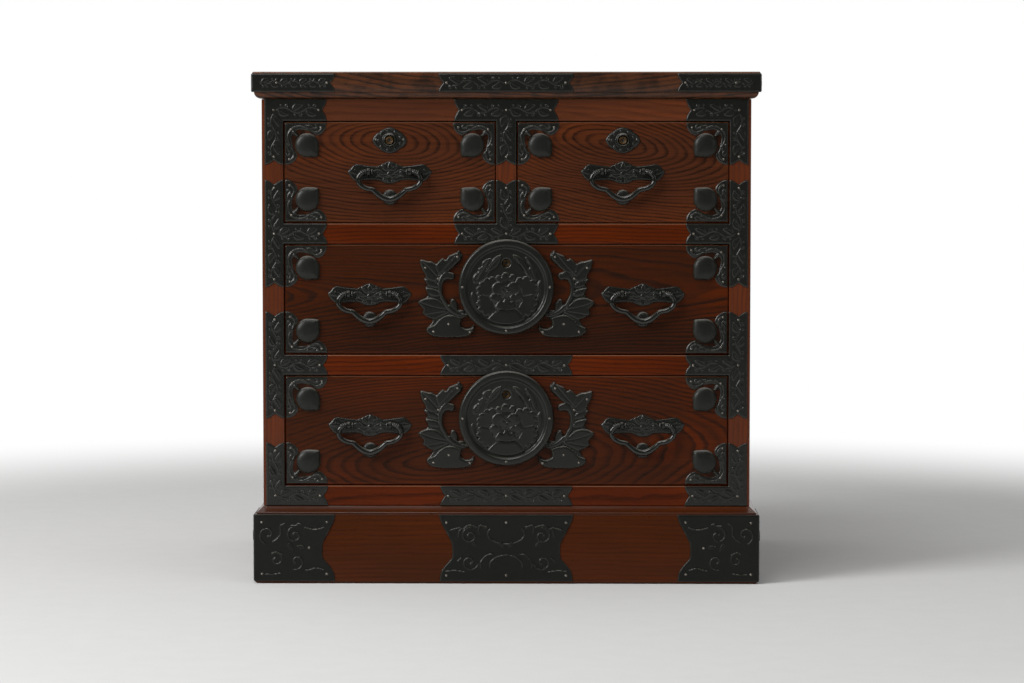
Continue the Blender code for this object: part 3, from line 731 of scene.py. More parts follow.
# Axes along the grain, across it and into the board; places and reaches in metres
GRAIN_ALONG = {"x": (0, 2, 1), "y": (1, 2, 0), "z": (2, 0, 1)}
BOARD_FACE = -0.198
HEART_SWAY = 0.02
ARCH_ROUND_SQUARE = 0.0003
# Reach of the painted shade round a drawer front's corner irons, from its edges
CORNER_SHADE_REACH = (0.030, 0.021)

# Tints, and how much of them shows
# Painted highlights on faces that look up: pale on wood, grey on iron
PAINTED_HIGHLIGHT_TINT = colour(126, 92, 70)
IRON_PAINTED_HIGHLIGHT_TINT = colour(145, 142, 136)
BLACK_TINT = (16, 18, 14)
GREY_BLACK_TINT = (27, 28, 23)
BARE_TINT = colour(78, 77, 70)
BARE_SHARE = 0.4
# Share of painted shade on the wood round a drawer front's corner irons
CORNER_SHADE_SHARE = 0.75


def along_grain(along, across, lengthwise):
    """Factors that draw a pattern out along the grain."""
    factors = np.full(3, across)
    factors[GRAIN_ALONG[along][0]] = lengthwise
    return factors


def from_heart(axes, heart, cut, sway, wave):
    """Distance from the heart of the tree, which wanders and dives behind the face of the board."""
    run, across, deep = axes
    depth, flare, slope, lean = cut
    ahead = run - heart[0] + sway * HEART_SWAY
    off = across - heart[1] + lean * ahead + sway * 2 * wave
    inward = deep - BOARD_FACE + depth
    dive = flare * (ahead * ahead + ARCH_ROUND_SQUARE).root() + slope * slope * ahead * ahead
    return (off * off + inward * inward + dive).root()


def painted_corner_shade(front, run, across):
    """How much painted shade darkens the wood of a drawer front round its corner irons."""
    low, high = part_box(front)
    from_end = (high.x - low.x) / 2 - (run - (low.x + high.x) / 2).size()
    from_edge = (high.z - low.z) / 2 - (across - (low.z + high.z) / 2).size()
    return from_end.spread(*CORNER_SHADE_REACH) * from_edge.spread(*CORNER_SHADE_REACH)


def zelkova(
    name, along, heart, cut, tints, ring, seed, wave=0.012, burl=0.0, figure=1.0, shine=0.12,
    darker=None, painted_highlight=0.6, front=None,
):
    """Lacquered zelkova: rings cut by the saw into arches, with open pores along the grain.

    The heart passes a place along and across the board. The cut says how deep behind the face it lies
    there, how it dives away from there (first along a curve, then along a slope), and how its line leans
    across the board.
    """
    dark, middle, bright = tints
    finish = Finish(bpy.data.materials.new(name))
    place = finish.shifted(finish.place(), (seed, seed * 0.7, seed * 1.3))
    axes = finish.axes(finish.place())
    run, across, deep = (axes[i] for i in GRAIN_ALONG[along])
    lengthwise = along_grain(along, 7.0, 2.2)
    fine = along_grain(along, 1500.0, 40.0)
    sway = finish.noise(finish.stretched(place, lengthwise), 1.0, 3.0, 0.55) - 0.5
    ripple = finish.noise(finish.stretched(place, lengthwise * 6), 1.0, 3.0, 0.6)
    rings = from_heart((run, across, deep), heart, cut, sway, wave) / ring + (ripple - 0.5) * 1.3
    step = rings.part()
    season = finish.node("ShaderNodeTexNoise", {"noise_dimensions": "1D"}, {"W": rings * 0.8, "Scale": 1.0})
    pores = finish.noise(finish.stretched(place, fine), 1.0, 2.0, 0.6)
    streaks = finish.noise(finish.stretched(place, fine * 0.2), 1.0, 3.0, 0.6)
    open_pores = pores.spread(0.50, 0.68)
    early = step.spread(0.35, 0.80) * step.spread(1.0, 0.88) * season.spread(0.25, 0.6, 0.35, 1.0)
    shade = figure * early * (0.7 + 0.3 * open_pores)
    shade = shade + streaks.spread(0.35, 0.75) * 0.30 + open_pores * 0.14
    shade = shade + burl * finish.noise(place, 44.0, 4.0, 0.6).spread(0.42, 0.66)
    if darker:
        low, high, share = darker
        shade = shade + (across + sway * 0.08).spread(low, high, share, 0.0)
    patch = finish.noise(finish.stretched(place, lengthwise * 1.7), 1.0, 3.0)
    ground = finish.mixed(middle, bright, patch.spread(0.36, 0.66) * season.spread(0.3, 0.7, 0.4, 1.0))
    tone = finish.mixed(ground, dark, shade.clamped())
    # Painted shade on the wood round the drawer front's corner irons
    if front:
        tone = finish.mixed(tone, dark, painted_corner_shade(front, run, across) * CORNER_SHADE_SHARE)
    tone = finish.mixed(tone, bright, finish.worn() * 0.8)
    # Painted highlight on rounded faces that look up, such as the upper edges
    upward = finish.upward()
    tone = finish.mixed(tone, PAINTED_HIGHLIGHT_TINT, upward.spread(0.15, 0.6) * upward.spread(0.998, 0.96) * painted_highlight)
    cloud = finish.noise(place, 22.0, 3.0)
    return finish.surface(
        Base_Color=tone,
        Roughness=0.29 + early * 0.10 + (cloud - 0.5) * 0.12,
        Normal=finish.bumped(cloud * 0.3 - shade * 0.6, 0.07, 0.0004),
        Specular_IOR_Level=shine,
    )


def planed_paulownia(name, along="y"):
    """Bare softwood inside the chest, pale, with straight grain and faint handling marks."""
    finish = Finish(bpy.data.materials.new(name))
    place = finish.place()
    stretch = along_grain(along, 70.0, 3.0)
    bands = finish.noise(finish.stretched(place, stretch), 1.0, 3.0)
    fibres = finish.noise(finish.stretched(place, stretch * 9), 1.0, 2.0)
    marks = finish.noise(place, 9.0, 4.0)
    light = finish.mixed(colour(196, 158, 112), colour(160, 118, 76), bands.spread(0.35, 0.7))
    shade = fibres.spread(0.5, 0.8) * 0.5 + marks.spread(0.55, 0.8) * 0.3
    tone = finish.mixed(light, colour(118, 84, 54), shade)
    return finish.surface(
        Base_Color=tone,
        Roughness=0.62 + (marks - 0.5) * 0.2,
        Normal=finish.bumped(fibres + bands * 0.5, 0.25, 0.0004),
    )


def blackened_iron(name, stippled=False, gloss=0.30, shine=0.45, depth=1.0, painted_highlight=0.5):
    """Sheet iron under black lacquer, rubbed bare and brighter along crests and edges, with a painted
    highlight on faces that look up.
    """
    finish = Finish(bpy.data.materials.new(name))
    place = finish.place()
    worn = finish.worn()
    hammered = finish.noise(place, 420.0, 3.0, 0.6)
    blotch = finish.noise(place, 60.0, 4.0, 0.6)
    rubbed = (worn * (0.5 + 0.7 * blotch) + (hammered - 0.5) * 0.15).spread(0.3, 1.0)
    black, grey = (colour(*(depth * value for value in tint)) for tint in (BLACK_TINT, GREY_BLACK_TINT))
    tone = finish.mixed(finish.mixed(black, grey, blotch), BARE_TINT, rubbed * BARE_SHARE)
    # Painted highlight on faces that look up, such as the tops of bails and upper edges
    upward = finish.upward()
    tone = finish.mixed(tone, IRON_PAINTED_HIGHLIGHT_TINT, upward.spread(0.6, 0.95) * painted_highlight)
    height = hammered * (0.6 if stippled else 1.0)
    if stippled:
        height = height + finish.cells(place, 900.0).spread(0.0, 0.5) * 1.6
    return finish.surface(
        Base_Color=tone,
        Metallic=0.75 * BARE_SHARE * rubbed,
        Roughness=gloss - 0.06 * rubbed + (hammered - 0.5) * 0.12,
        Normal=finish.bumped(height, 0.24 if stippled else 0.08, 0.0004),
        Specular_IOR_Level=shine,
    )


def nail_iron(name):
    """Round nail heads, polished by wear to a brownish grey."""
    finish = Finish(bpy.data.materials.new(name))
    place = finish.place()
    pitted = finish.noise(place, 700.0, 3.0)
    tone = finish.mixed(colour(92, 88, 82), colour(150, 142, 132), pitted.spread(0.35, 0.7))
    return finish.surface(
        Base_Color=tone,
        Metallic=0.55 + 0.2 * pitted,
        Roughness=0.30 + 0.25 * pitted,
        Normal=finish.bumped(pitted, 0.2, 0.0002),
    )


def old_brass(name):
    """Lock brass, dulled in patches by tarnish."""
    finish = Finish(bpy.data.materials.new(name))
    place = finish.place()
    tarnish = finish.noise(place, 350.0, 4.0, 0.6)
    turned = finish.noise(finish.stretched(place, (1.0, 6.0, 1.0)), 900.0, 2.0)
    tone = finish.mixed(colour(98, 74, 38), colour(40, 29, 15), tarnish.spread(0.35, 0.72))
    return finish.surface(
        Base_Color=tone,
        Metallic=0.75 - 0.35 * tarnish,
        Roughness=0.26 + 0.35 * tarnish,
        Normal=finish.bumped(turned, 0.12, 0.0002),
    )


def painted_keyway_shade(name):
    """Painted shade for the inside of a key slot: near black, with a little old oil."""
    finish = Finish(bpy.data.materials.new(name))
    grime = finish.noise(finish.place(), 600.0, 3.0)
    tone = finish.mixed(colour(14, 12, 10), colour(34, 27, 18), grime)
    return finish.surface(Base_Color=tone, Roughness=0.5 + 0.3 * grime)


# The upper drawers are tinted greyer than the lower ones: the wood's own tone with a painted reflection of
# the room in it
UPPER_TINTS = (colour(26, 13, 6), colour(76, 39, 21), colour(100, 47, 18))
LOWER_TINTS = (colour(32, 17, 9), colour(64, 28, 9), colour(90, 34, 4))
RAIL_TINTS = (colour(46, 15, 1), colour(80, 28, 2), colour(100, 36, 2))
# The top rail is tinted greyer than the other rails: the wood's own tone with a painted reflection of the
# room in it
TOP_RAIL_TINTS = (colour(48, 24, 13), colour(84, 45, 27), colour(104, 53, 28))
STILE_TINTS = (colour(49, 21, 8), colour(83, 37, 14), colour(104, 45, 13))
PLINTH_TINTS = (colour(46, 20, 7), colour(67, 31, 10), colour(80, 35, 10))
TOP_TINTS = (colour(38, 24, 15), colour(76, 45, 26), colour(100, 52, 24))

UPPER_BOARD = {"tints": UPPER_TINTS, "ring": 0.0038, "wave": 0.016, "figure": 0.85}
BOTTOM_BOARD = {"tints": LOWER_TINTS, "ring": 0.0038, "wave": 0.022, "figure": 0.9}
MIDDLE_BOARD = {**BOTTOM_BOARD, "ring": 0.0034, "darker": (0.29, 0.36, 0.4)}
PLINTH_BOARD = {"heart": (0.0, 0.30), "cut": (0.15, 0.0, 0.05, 0.0), "tints": PLINTH_TINTS, "ring": 0.0050}
FRONT_CUTS = (
    ("upper_left", (-0.140, 0.526), (0.008, 0.0, 0.34, 0.02), 1.3, UPPER_BOARD),
    ("upper_right", (0.132, 0.530), (0.008, 0.0, 0.34, 0.16), 4.1, UPPER_BOARD),
    ("middle", (-0.285, 0.346), (0.010, 0.005, 0.02, -0.03), 7.7, MIDDLE_BOARD),
    ("bottom", (-0.07, 0.145), (0.014, 0.0, 0.24, -0.05), 9.2, BOTTOM_BOARD),
)
front_wood = {
    where + "_drawer": zelkova(
        where + "_front_wood", "x", heart, cut, seed=seed, front=where + "_drawer_front", **board
    )
    for where, heart, cut, seed, board in FRONT_CUTS
}
rail_wood = zelkova(
    "rail_wood", "x", (0.2, 0.05), (0.16, 0.0, 0.10, 0.0), RAIL_TINTS, ring=0.0042, seed=2.2, figure=0.8
)
top_rail_wood = zelkova(
    "top_rail_wood", "x", (-0.2, 0.50), (0.10, 0.0, 0.15, 0.0), TOP_RAIL_TINTS,
    ring=0.0040, seed=2.9, figure=0.4,
)
stile_wood = zelkova(
    "stile_wood", "z", (0.3, 0.12), (0.10, 0.0, 0.06, 0.0), STILE_TINTS,
    ring=0.0050, seed=5.5, figure=0.5, shine=0.3,
)
top_wood = zelkova(
    "top_wood", "x", (0.05, 0.66), (0.05, 0.004, 0.25, 0.0), TOP_TINTS,
    ring=0.0048, seed=3.6, wave=0.03, burl=0.6, shine=0.3,
)
plinth_wood = zelkova("plinth_wood", "x", seed=6.4, figure=0.5, **PLINTH_BOARD)
plinth_end_wood = zelkova("plinth_end_wood", "y", seed=8.8, figure=0.25, **PLINTH_BOARD)
moulding_wood = zelkova("moulding_wood", "x", seed=6.9, figure=0.5, shine=0.6, painted_highlight=0.0, **PLINTH_BOARD)
bare_wood = planed_paulownia("bare_wood")
panel_wood = planed_paulownia("panel_wood", "x")
iron = blackened_iron("chased_iron")
punched_iron = blackened_iron("punched_iron", stippled=True)
# The bail's iron: rubbed bare by handling, with a stronger painted highlight along its upper side
rubbed_iron_painted_highlight = blackened_iron("rubbed_iron_painted_highlight", gloss=0.15, shine=0.6, painted_highlight=0.6)
handle_iron = blackened_iron("handle_iron", gloss=0.26, painted_highlight=0.45)
peach_iron = blackened_iron("peach_iron", gloss=0.40, shine=0.36)
# The plinth's iron is a darker copy: painted shade that holds back the light the floor throws up on it
plinth_iron = blackened_iron("plinth_iron", gloss=0.34, shine=0.25, depth=0.8)
nails = nail_iron("nail_heads")
brass = old_brass("lock_brass")
slot_dark = painted_keyway_shade("key_slot")
IRONWORK = [iron, nails]


# Outlines of the irons on the face


def cut_end(start, end, profile):
    """Points between two corners, from pairs of a share of the way and a depth into the sheet."""
    start, end = np.asarray(start, float), np.asarray(end, float)
    way = end - start
    inward = np.array([-way[1], way[0]]) / np.hypot(*way)
    share, depth = np.asarray(profile).T
    return list(start + np.outer(share, way) + np.outer(depth, inward))


def notched(start, end):
    """A cut end between two corners: two round lobes with a notch between them."""
    shares = np.linspace(0, 1, 17)
    return cut_end(
        start, end, [(share, NOTCH * (1 - math.sin(math.pi / 2 * abs(1 - 2 * share)))) for share in shares]
    )


def waisted(start, end):
    """A cut end of a plinth plate: a round lobe, a straight waist, and a horn that sweeps out above it."""
    lobe = [(0, 0.8), (0.12, 2.2), (0.21, 6.0), (0.29, 11.4), (0.334, 14.8)]
    horn = [
        (0.334, 14.8), (0.37, 15.8), (0.45, 16.1), (0.54, 15.8), (0.60, 14.4), (0.70, 10.2), (0.80, 6.0),
        (0.88, 2.8), (0.95, 1.0), (1, 0),
    ]
    rows = np.concatenate([smooth(lobe, steps=4), smooth(horn, steps=3)[1:]])
    if end[1] < start[1]:
        rows = (rows * (-1, 1) + (1, 0))[::-1]
    return cut_end(start, end, rows)


def strip(cut, left, right, height, pitch=PITCH):
    """A straight sheet with both its ends cut in the same way."""
    return Sheet([*cut((right, 0), (right, height)), *cut((left, height), (left, 0))], pitch=pitch)


def corner_iron(rail):
    """Iron over an upper left corner of the face, from the inner corner of the frame."""
    sheet = Sheet(
        [
            (0, 0),
            *notched((REACH, 0), (REACH, rail)),
            (-STILE, rail),
            *notched((-STILE, -REACH), (0, -REACH)),
        ]
    )
    sheet.trail((-STILE / 2 + 4, rail / 2), (REACH - TRAIL_INSET, rail / 2))
    sheet.trail((-STILE / 2, rail / 2 - 5), (-STILE / 2, -REACH + TRAIL_INSET), -1)
    spots = [(REACH - NAIL_INSET, rail / 2), (-STILE / 2, rail / 2), (-STILE / 2, -REACH + NAIL_INSET)]
    return sheet, spots


def tee_iron(rail):
    """Iron over a left rail joint, from the lower inner corner of the opening above."""
    sheet = Sheet(
        [
            (0, 0),
            *notched((0, REACH), (-STILE, REACH)),
            *notched((-STILE, -rail - REACH), (0, -rail - REACH)),
            (0, -rail),
            *notched((REACH, -rail), (REACH, 0)),
        ]
    )
    middle = (-STILE / 2, -rail / 2)
    sheet.trail((-STILE / 2, -rail / 2 + 4), (-STILE / 2, REACH - TRAIL_INSET))
    sheet.trail((-STILE / 2, -rail / 2 - 4), (-STILE / 2, -rail - REACH + TRAIL_INSET), -1)
    sheet.trail((-STILE / 2 + 5, -rail / 2), (REACH - TRAIL_INSET, -rail / 2), -1)
    spots = [
        middle,
        (-STILE / 2, REACH - NAIL_INSET),
        (-STILE / 2, -rail - REACH + NAIL_INSET),
        (REACH - NAIL_INSET, -rail / 2),
    ]
    return sheet, spots


def hanging_tee(rail):
    """Iron on a rail with its stem down the middle post, from the rail's lower edge."""
    half = POST / 2
    arm = half + CENTER_ARM
    sheet = Sheet(
        [
            (half, 0),
            *notched((arm, 0), (arm, rail)),
            *notched((-arm, rail), (-arm, 0)),
            (-half, 0),
            *notched((-half, -REACH), (half, -REACH)),
        ]
    )
    sheet.trail((4, rail / 2), (arm - TRAIL_INSET, rail / 2))
    sheet.trail((-4, rail / 2), (TRAIL_INSET - arm, rail / 2), -1)
    sheet.trail((0, rail / 2 - 6), (0, -REACH + TRAIL_INSET))
    spots = [(u, rail / 2) for u in (arm - NAIL_INSET, NAIL_INSET - arm, 0)]
    spots.append((0, -REACH + NAIL_INSET))
    return sheet, spots


def band(length, height):
    """Straight iron with notched ends, from the middle of its lower edge."""
    half = length / 2
    sheet = strip(notched, -half, half, height)
    sheet.trail((3, height / 2), (half - TRAIL_INSET, height / 2))
    sheet.trail((-3, height / 2), (TRAIL_INSET - half, height / 2), -1)
    spots = [(half - NAIL_INSET, height / 2), (0, height / 2), (NAIL_INSET - half, height / 2)]
    return sheet, spots


def iron_piece(node, made, place):
    """A chased iron with its nails, standing for one solid of the carcass."""
    sheet, spots = made
    shape = Shape()
    shape.add_sheet(sheet, place)
    shape.add_nails(sheet, spots, place)
    finishes = [plinth_iron, nails] if node.startswith("base_") else IRONWORK
    shape.piece(node + "_chased", finishes, "carcass", [node])


def size_of(node):
    """Width and height of a solid seen from the front, in millimetres."""
    low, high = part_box(node)
    return (high.x - low.x) / MM, (high.z - low.z) / MM


def dress_face():
    """Irons on the stiles, the rails and the middle post."""
    top_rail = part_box("top_rail")
    rail = size_of("lower_rail")[1]
    high_rail = size_of("top_rail")[1]
    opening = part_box("left_side")[1].x
    corners = (
        ("top_left_iron", -1, 1, top_rail[0].z, high_rail),
        ("top_right_iron", 1, 1, top_rail[0].z, high_rail),
        ("bottom_left_iron", -1, -1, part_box("bottom_rail")[1].z, rail),
        ("bottom_right_iron", 1, -1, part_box("bottom_rail")[1].z, rail),
    )
    for name, across, upside, z, height in corners:
        place = on_front(-across * opening, body_front, z, -across, upside)
        iron_piece(name, corner_iron(height), place)
    tee = tee_iron(rail)
    tees = (
        ("upper_left_tee", -1, "upper_rail"),
        ("upper_right_tee", 1, "upper_rail"),
        ("lower_left_tee", -1, "lower_rail"),
        ("lower_right_tee", 1, "lower_rail"),
    )
    for name, across, under in tees:
        place = on_front(-across * opening, body_front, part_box(under)[1].z, -across)
        iron_piece(name, tee, place)
    place = on_front(0, body_front, top_rail[0].z)
    iron_piece("top_center_tee", hanging_tee(high_rail), place)
    place = on_front(0, body_front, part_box("upper_rail")[1].z, 1, -1)
    iron_piece("upper_center_tee", hanging_tee(rail), place)
    for name in ("lower_rail_strap", "bottom_rail_strap"):
        place = on_front(0, body_front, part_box(name)[0].z)
        iron_piece(name, band(*size_of(name)), place)


def folded_band(reach, wrap, height):
    """Strap bent round a corner of the top: u is negative on the front."""
    sheet = strip(notched, -reach, wrap, height)
    sheet.trail((-10, height / 2), (-reach + TRAIL_INSET, height / 2), leaf=TOP_LEAF)
    sheet.trail((5, height / 2), (wrap - TRAIL_INSET, height / 2), leaf=TOP_LEAF)
    spots = [(-reach + NAIL_INSET, height / 2), (-29, height / 2), (wrap - NAIL_INSET, height / 2)]
    return sheet, spots


def draw(sheet, lines, across):
    """Thin raised tendrils through the given points."""
    for line in lines:
        sheet.stem(smooth([(across * u, v) for u, v in line], steps=5), *TENDRIL_LINE, tip=0.7)


def plinth_corner(reach, wrap, height):
    """Plate bent round a corner of the plinth, with tendrils in thin raised lines."""
    sheet = strip(waisted, -reach, wrap, height, PLATE_PITCH)
    lines = (
        [(22, 47.3), (27.3, 51.1), (30.7, 56), (31, 62), (31.4, 66.7), (36, 69.3)],
        [(43.9, 66.7), (50, 67), (53, 69.3), (56, 68.2)],
        [(60.6, 64.4), (71.2, 62.1), (78.8, 63.3), (83.3, 64.8)],
        [(20.8, 32.6), (25.8, 34.8), (32.6, 31.8)],
        [(61.4, 12.9), (67.4, 14), (73.5, 15.9), (82.6, 13.6)],
        [(13.6, 8.3), (22, 8), (31, 9.6)],
    )
    scrolls = (
        ((48.5, 55.3), 10.2, 100, 1.1),
        ((15.9, 56), 11, 250, -0.9),
        ((25.8, 25.8), 9, 120, -1.0),
        ((50, 23.5), 10, 250, 0.9),
    )
    for across, width in ((-1, reach), (1, wrap)):
        share = width / reach
        draw(sheet, [[(u * share, v) for u, v in line] for line in lines], across)
        for (u, v), radius, start, turns in scrolls:
            begin = start if across > 0 else 180 - start
            spot = (across * u * share, v)
            sheet.scroll(spot, radius * share, begin, across * turns, TENDRIL, TENDRIL_RISE)
        sheet.leaf((across * share * 40, 46), (across * share * 46, 37), 2.4, 1.0)
        sheet.leaf((across * share * 60, 41), (across * share * 51, 42), 2.2, 1.0)
    spots = [(-8.7, 70.8), (-8.7, 8.7), (-86.7, 71.2), (-86.4, 8.7), (-65.2, 40.2)]
    spots += [(8.7, 70.8), (8.7, 8.7), (wrap - 10, 71.2), (wrap - 10, 8.7)]
    return sheet, spots


def oval(middle, half_width, half_height, first, last):
    """Part of an ellipse between two angles in degrees."""
    return arc((0, 0), 1, first, last, 20) * (half_width, half_height) + middle


def plinth_plate(width, height):
    """Middle plate of the plinth, from the middle of its lower edge."""
    half = width / 2
    sheet = strip(waisted, -half, half, height, PLATE_PITCH)
    lines = (
        [(35, 65), (40, 67), (46, 67.2), (51, 63.2), (56.7, 64.4), (67, 61.5)],
        [(57.2, 54), (56.3, 59.8), (54, 63)],
        [(24.3, 65.3), (31, 67.5), (33, 63), (32, 58)],
        [(30.4, 16.5), (31, 21.6), (28, 26.8), (22.4, 31.9), (16.2, 33)],
        [(72, 12), (62, 13), (50, 11.5)],
        [(57.7, 24.5), (53.5, 28.5)],
    )
    for across in (-1, 1):
        draw(sheet, lines, across)
        sheet.scroll((across * 43, 54.7), 10.5, 90, -across * 1.2, TENDRIL, TENDRIL_RISE)
        begin = 190 if across > 0 else -10
        sheet.scroll((across * 43.5, 23), 10.5, begin, across * 1.1, TENDRIL, TENDRIL_RISE)
        sheet.leaf((across * 8, 47), (across * 3, 41), 1.9, 1.0)
        sheet.leaf((across * 40, 47), (across * 35, 42), 1.9, 1.0)
        sheet.boss((across * 24.3, 65.3), 1.7, 1.2)
    sheet.stem(oval((0, 57), 22, 12, 150, 390), *TENDRIL_LINE)
    sheet.stem(oval((0, 19), 19.5, 12.5, -10, 190), *TENDRIL_LINE)
    edge_rows = (height - 9.6, 7.2)
    outer = half - PLINTH_NAIL_INSET
    spots = [(u, v) for v in edge_rows for u in (-outer, 0, outer)]
    return sheet, spots


def dress_edges():
    """Straps round the edge of the top and plates on the plinth."""
    for side, across in (("left", -1), ("right", 1)):
        for name, bent in ((f"top_{side}_strap", folded_band), (f"base_{side}_plate", plinth_corner)):
            low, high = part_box(name)
            reach, wrap = ((high[axis] - low[axis]) / MM - IRON_SHEET - IRON_BACK for axis in (0, 1))
            made = bent(reach, wrap, (high.z - low.z) / MM)
            iron_piece(name, made, round_corner(across, low.z))
    for name, flat in (("top_center_strap", band), ("base_center_plate", plinth_plate)):
        iron_piece(name, flat(*size_of(name)), on_front(0, top_front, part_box(name)[0].z))


# Drawers


def corner_leg():
    """Legs of a drawer's corner iron, from the drawer's upper left corner."""
    bend = [
        (LEG_LENGTH, 0), (LEG_LENGTH - 0.3, -3.5), (LEG_LENGTH - 1.7, -7.5), (LEG_LENGTH - 4.6, -11.4),
        (LEG_LENGTH - 8.4, -14.0), (37.2, -14.7), (33.5, -12.8), (29.0, -10.4), (23.5, -8.6), (17.5, -7.8),
        (13.0, -9.2),
    ]
    upper = [(0, 0), *smooth(bend, steps=3), (17.0, -14.9)]
    lower = [(-v, -u) for u, v in upper[:0:-1]]
    return upper + lower


def corner_mount():
    """Corner iron of a drawer: chased legs, and a smooth peach on a stem."""
    legs = Sheet(corner_leg())
    vine = [
        (7.5, -7.5), (12, -4.6), (18, -3.6), (24, -5.0), (30, -8.4), (36, -10.8), (41, -9.6), (44, -6.4),
    ]
    curl = [(25, -3.0), (31, -3.6), (36, -6.2), (38.6, -4.2), (36.8, -2.6)]
    leaf = [(26.0, -3.4), (33.5, -6.8)]
    for flip in (False, True):
        for path, half_width, rise in ((smooth(vine), 0.8, 0.9), (smooth(curl), 0.7, 0.8)):
            legs.stem([(-v, -u) for u, v in path] if flip else path, half_width, rise)
        legs.leaf(*([(-v, -u) for u, v in leaf] if flip else leaf), 2.0, 0.9)
    legs.stem([(10.5, -10.5), (16.5, -16.5)], 1.5, 1.2)
    middle = np.array((PEACH_INSET, -PEACH_INSET))
    corner = math.acos(1 / (PEACH_TIP * math.sqrt(2)))

    def reach(turn):
        """Radius of the peach, as a share of its round side, at an angle from its tip."""
        return 1 / np.cos(np.maximum(corner - np.sqrt(turn**2 + 0.09**2), 0))

    turns = np.linspace(-math.pi, math.pi, 97)[:-1]
    spokes = np.stack([np.cos(turns - math.pi / 4), np.sin(turns - math.pi / 4)], 1)
    peach = Sheet(middle + PEACH_RADIUS * reach(turns)[:, None] * spokes, pitch=PLATE_PITCH)
    off = (peach.at - middle) / PEACH_RADIUS
    turned = np.arctan2(off[:, 0] + off[:, 1], off[:, 0] - off[:, 1])
    share = np.hypot(*off.T) / reach(turned)
    peach.rise = PEACH_RISE * np.sqrt(np.clip(1 - np.clip(share, 0, 1) ** 2.8, 0, 1))
    spots = [(7.5, -7.5), (43.0, -5.2), (5.2, -43.0)]
    return legs, peach, spots


def board_sheet(low, high, bore=None):
    """Face of a board between two corners, in millimetres, with rounded edges and a bore if it has one."""
    low, high = np.asarray(low, float), np.asarray(high, float)
    steps = np.ceil((high - low) / BOARD_PITCH).astype(int)

    def loop(inset):
        (left, foot), (right, head) = low + inset, high - inset
        across = np.clip(np.linspace(low[0], high[0], steps[0] + 1), left, right)
        up = np.clip(np.linspace(low[1], high[1], steps[1] + 1), foot, head)
        rows = [(u, foot) for u in across[:-1]]
        rows += [(right, v) for v in up[:-1]]
        rows += [(u, head) for u in across[:0:-1]]
        rows += [(left, v) for v in up[:0:-1]]
        return np.array(rows)

    insets = (0.4, 0.9, RIM_WIDTH, 2 * RIM_WIDTH)
    rows = [loop(inset) for inset in insets]
    holes = []
    if bore:
        holes = [circle(bore, 24)]
        rows += [circle(bore + inset, 24) for inset in insets]
    return Sheet(loop(0), holes, BOARD_PITCH, rows)


def front_board(name, drawer, low, high, lock):
    """Wooden front with worn edges and the bore for its lock, about the lock."""
    first = ((low.x - lock.x) / MM - FRONT_SPREAD, (low.z - lock.z) / MM - FRONT_SPREAD)
    last = ((high.x - lock.x) / MM + FRONT_SPREAD, (high.z - lock.z) / MM + FRONT_SPREAD)
    sheet = board_sheet(first, last, BORE)
    shape = Shape()
    shape.add_sheet(sheet, on_front(lock.x, face, lock.z), -FRONT_THICKNESS, FRONT_THICKNESS)
    shape.piece(name, [front_wood[drawer]], drawer, [drawer + "_front"], BOARD_CREASE)


def rail_board(node):
    """Rail with worn edges."""
    low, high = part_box(node)
    sheet = board_sheet((low.x / MM, low.z / MM), (high.x / MM, high.z / MM))
    depth = (high.y - low.y) / MM
    shape = Shape()
    shape.add_sheet(sheet, on_front(0, low.y, 0), -depth, depth)
    wood = top_rail_wood if node == "top_rail" else rail_wood
    shape.piece(node + "_board", [wood], "carcass", [node], BOARD_CREASE)


def bail_bar():
    """Right half of a bail: points from its bead to the middle of the grip, with their radii."""
    rows = []
    for share in np.linspace(0, 1, 9):
        angle = math.pi * (1 - share)
        radius = max(0.5, BEAD_RADIUS * math.sin(angle) ** 0.6)
        rows.append((BEAD_MIDDLE + BEAD_HALF * math.cos(angle), 0, radius))
    rows.append((BEAD_MIDDLE + 2.0, 0, BAIL_RADIUS * 0.8))
    rows.append((EYE_MIDDLE + EYE_LENGTH / 2 + 0.2, 0, BAIL_RADIUS))
    for angle in np.radians(np.linspace(90, 0, 20)):
        u = BAIL_SHOULDER + (BAIL_HALF - BAIL_SHOULDER) * math.cos(angle)
        rows.append((u, -BAIL_WAIST * (1 - math.sin(angle)), BAIL_RADIUS))
    for angle in np.radians(np.linspace(0, -84, 24)[1:]):
        u = BAIL_CUSP + (BAIL_HALF - BAIL_CUSP) * math.cos(angle)
        rows.append((u, -BAIL_WAIST + (BAIL_CUSP_DROP - BAIL_WAIST) * math.sin(angle), BAIL_RADIUS))
    for share in np.linspace(0, 1, 22)[1:]:
        u = BAIL_CUSP * (1 - share)
        v = -BAIL_DROP + (BAIL_DROP - BAIL_CUSP_DROP) * (1 - share) ** 1.85
        rows.append((u, v, BAIL_RADIUS + (BAIL_GRIP - BAIL_RADIUS) * min(1, share * 1.6)))
    rows = np.array(rows)
    walked = np.concatenate([[0], np.cumsum(np.hypot(*np.diff(rows[:, :2], axis=0).T))])
    fine = np.linspace(0, walked[-1], 150)
    bar = np.stack([np.interp(fine, walked, rows[:, k]) for k in range(3)], 1)
    first_rib = np.interp(EYE_MIDDLE + EYE_LENGTH / 2 + 1.2, rows[:14, 0], walked[:14])
    for k in range(RIBS):
        bar[:, 2] += RIB_RISE * np.exp(-(((fine - first_rib - RIB_PACE * k) / RIB_WIDTH) ** 2))
    return bar


def bail_piece(name, body):
    """The bail as a round bar with ribs at its shoulders, beads inside its eyes and a pointed grip."""
    bar = bail_bar()
    left = bar[:-1] * (-1, 1, 1)
    whole = np.concatenate([left, bar[::-1]])
    pivot = pivot_of[body]
    shape = Shape()
    shape.add_swept(whole[:, :2], whole[:, 2], on_front(pivot.x, pivot.y, pivot.z), BAIL_SIDES, BAIL_WEAR)
    shape.piece(name, [rubbed_iron_painted_highlight], body, [body])


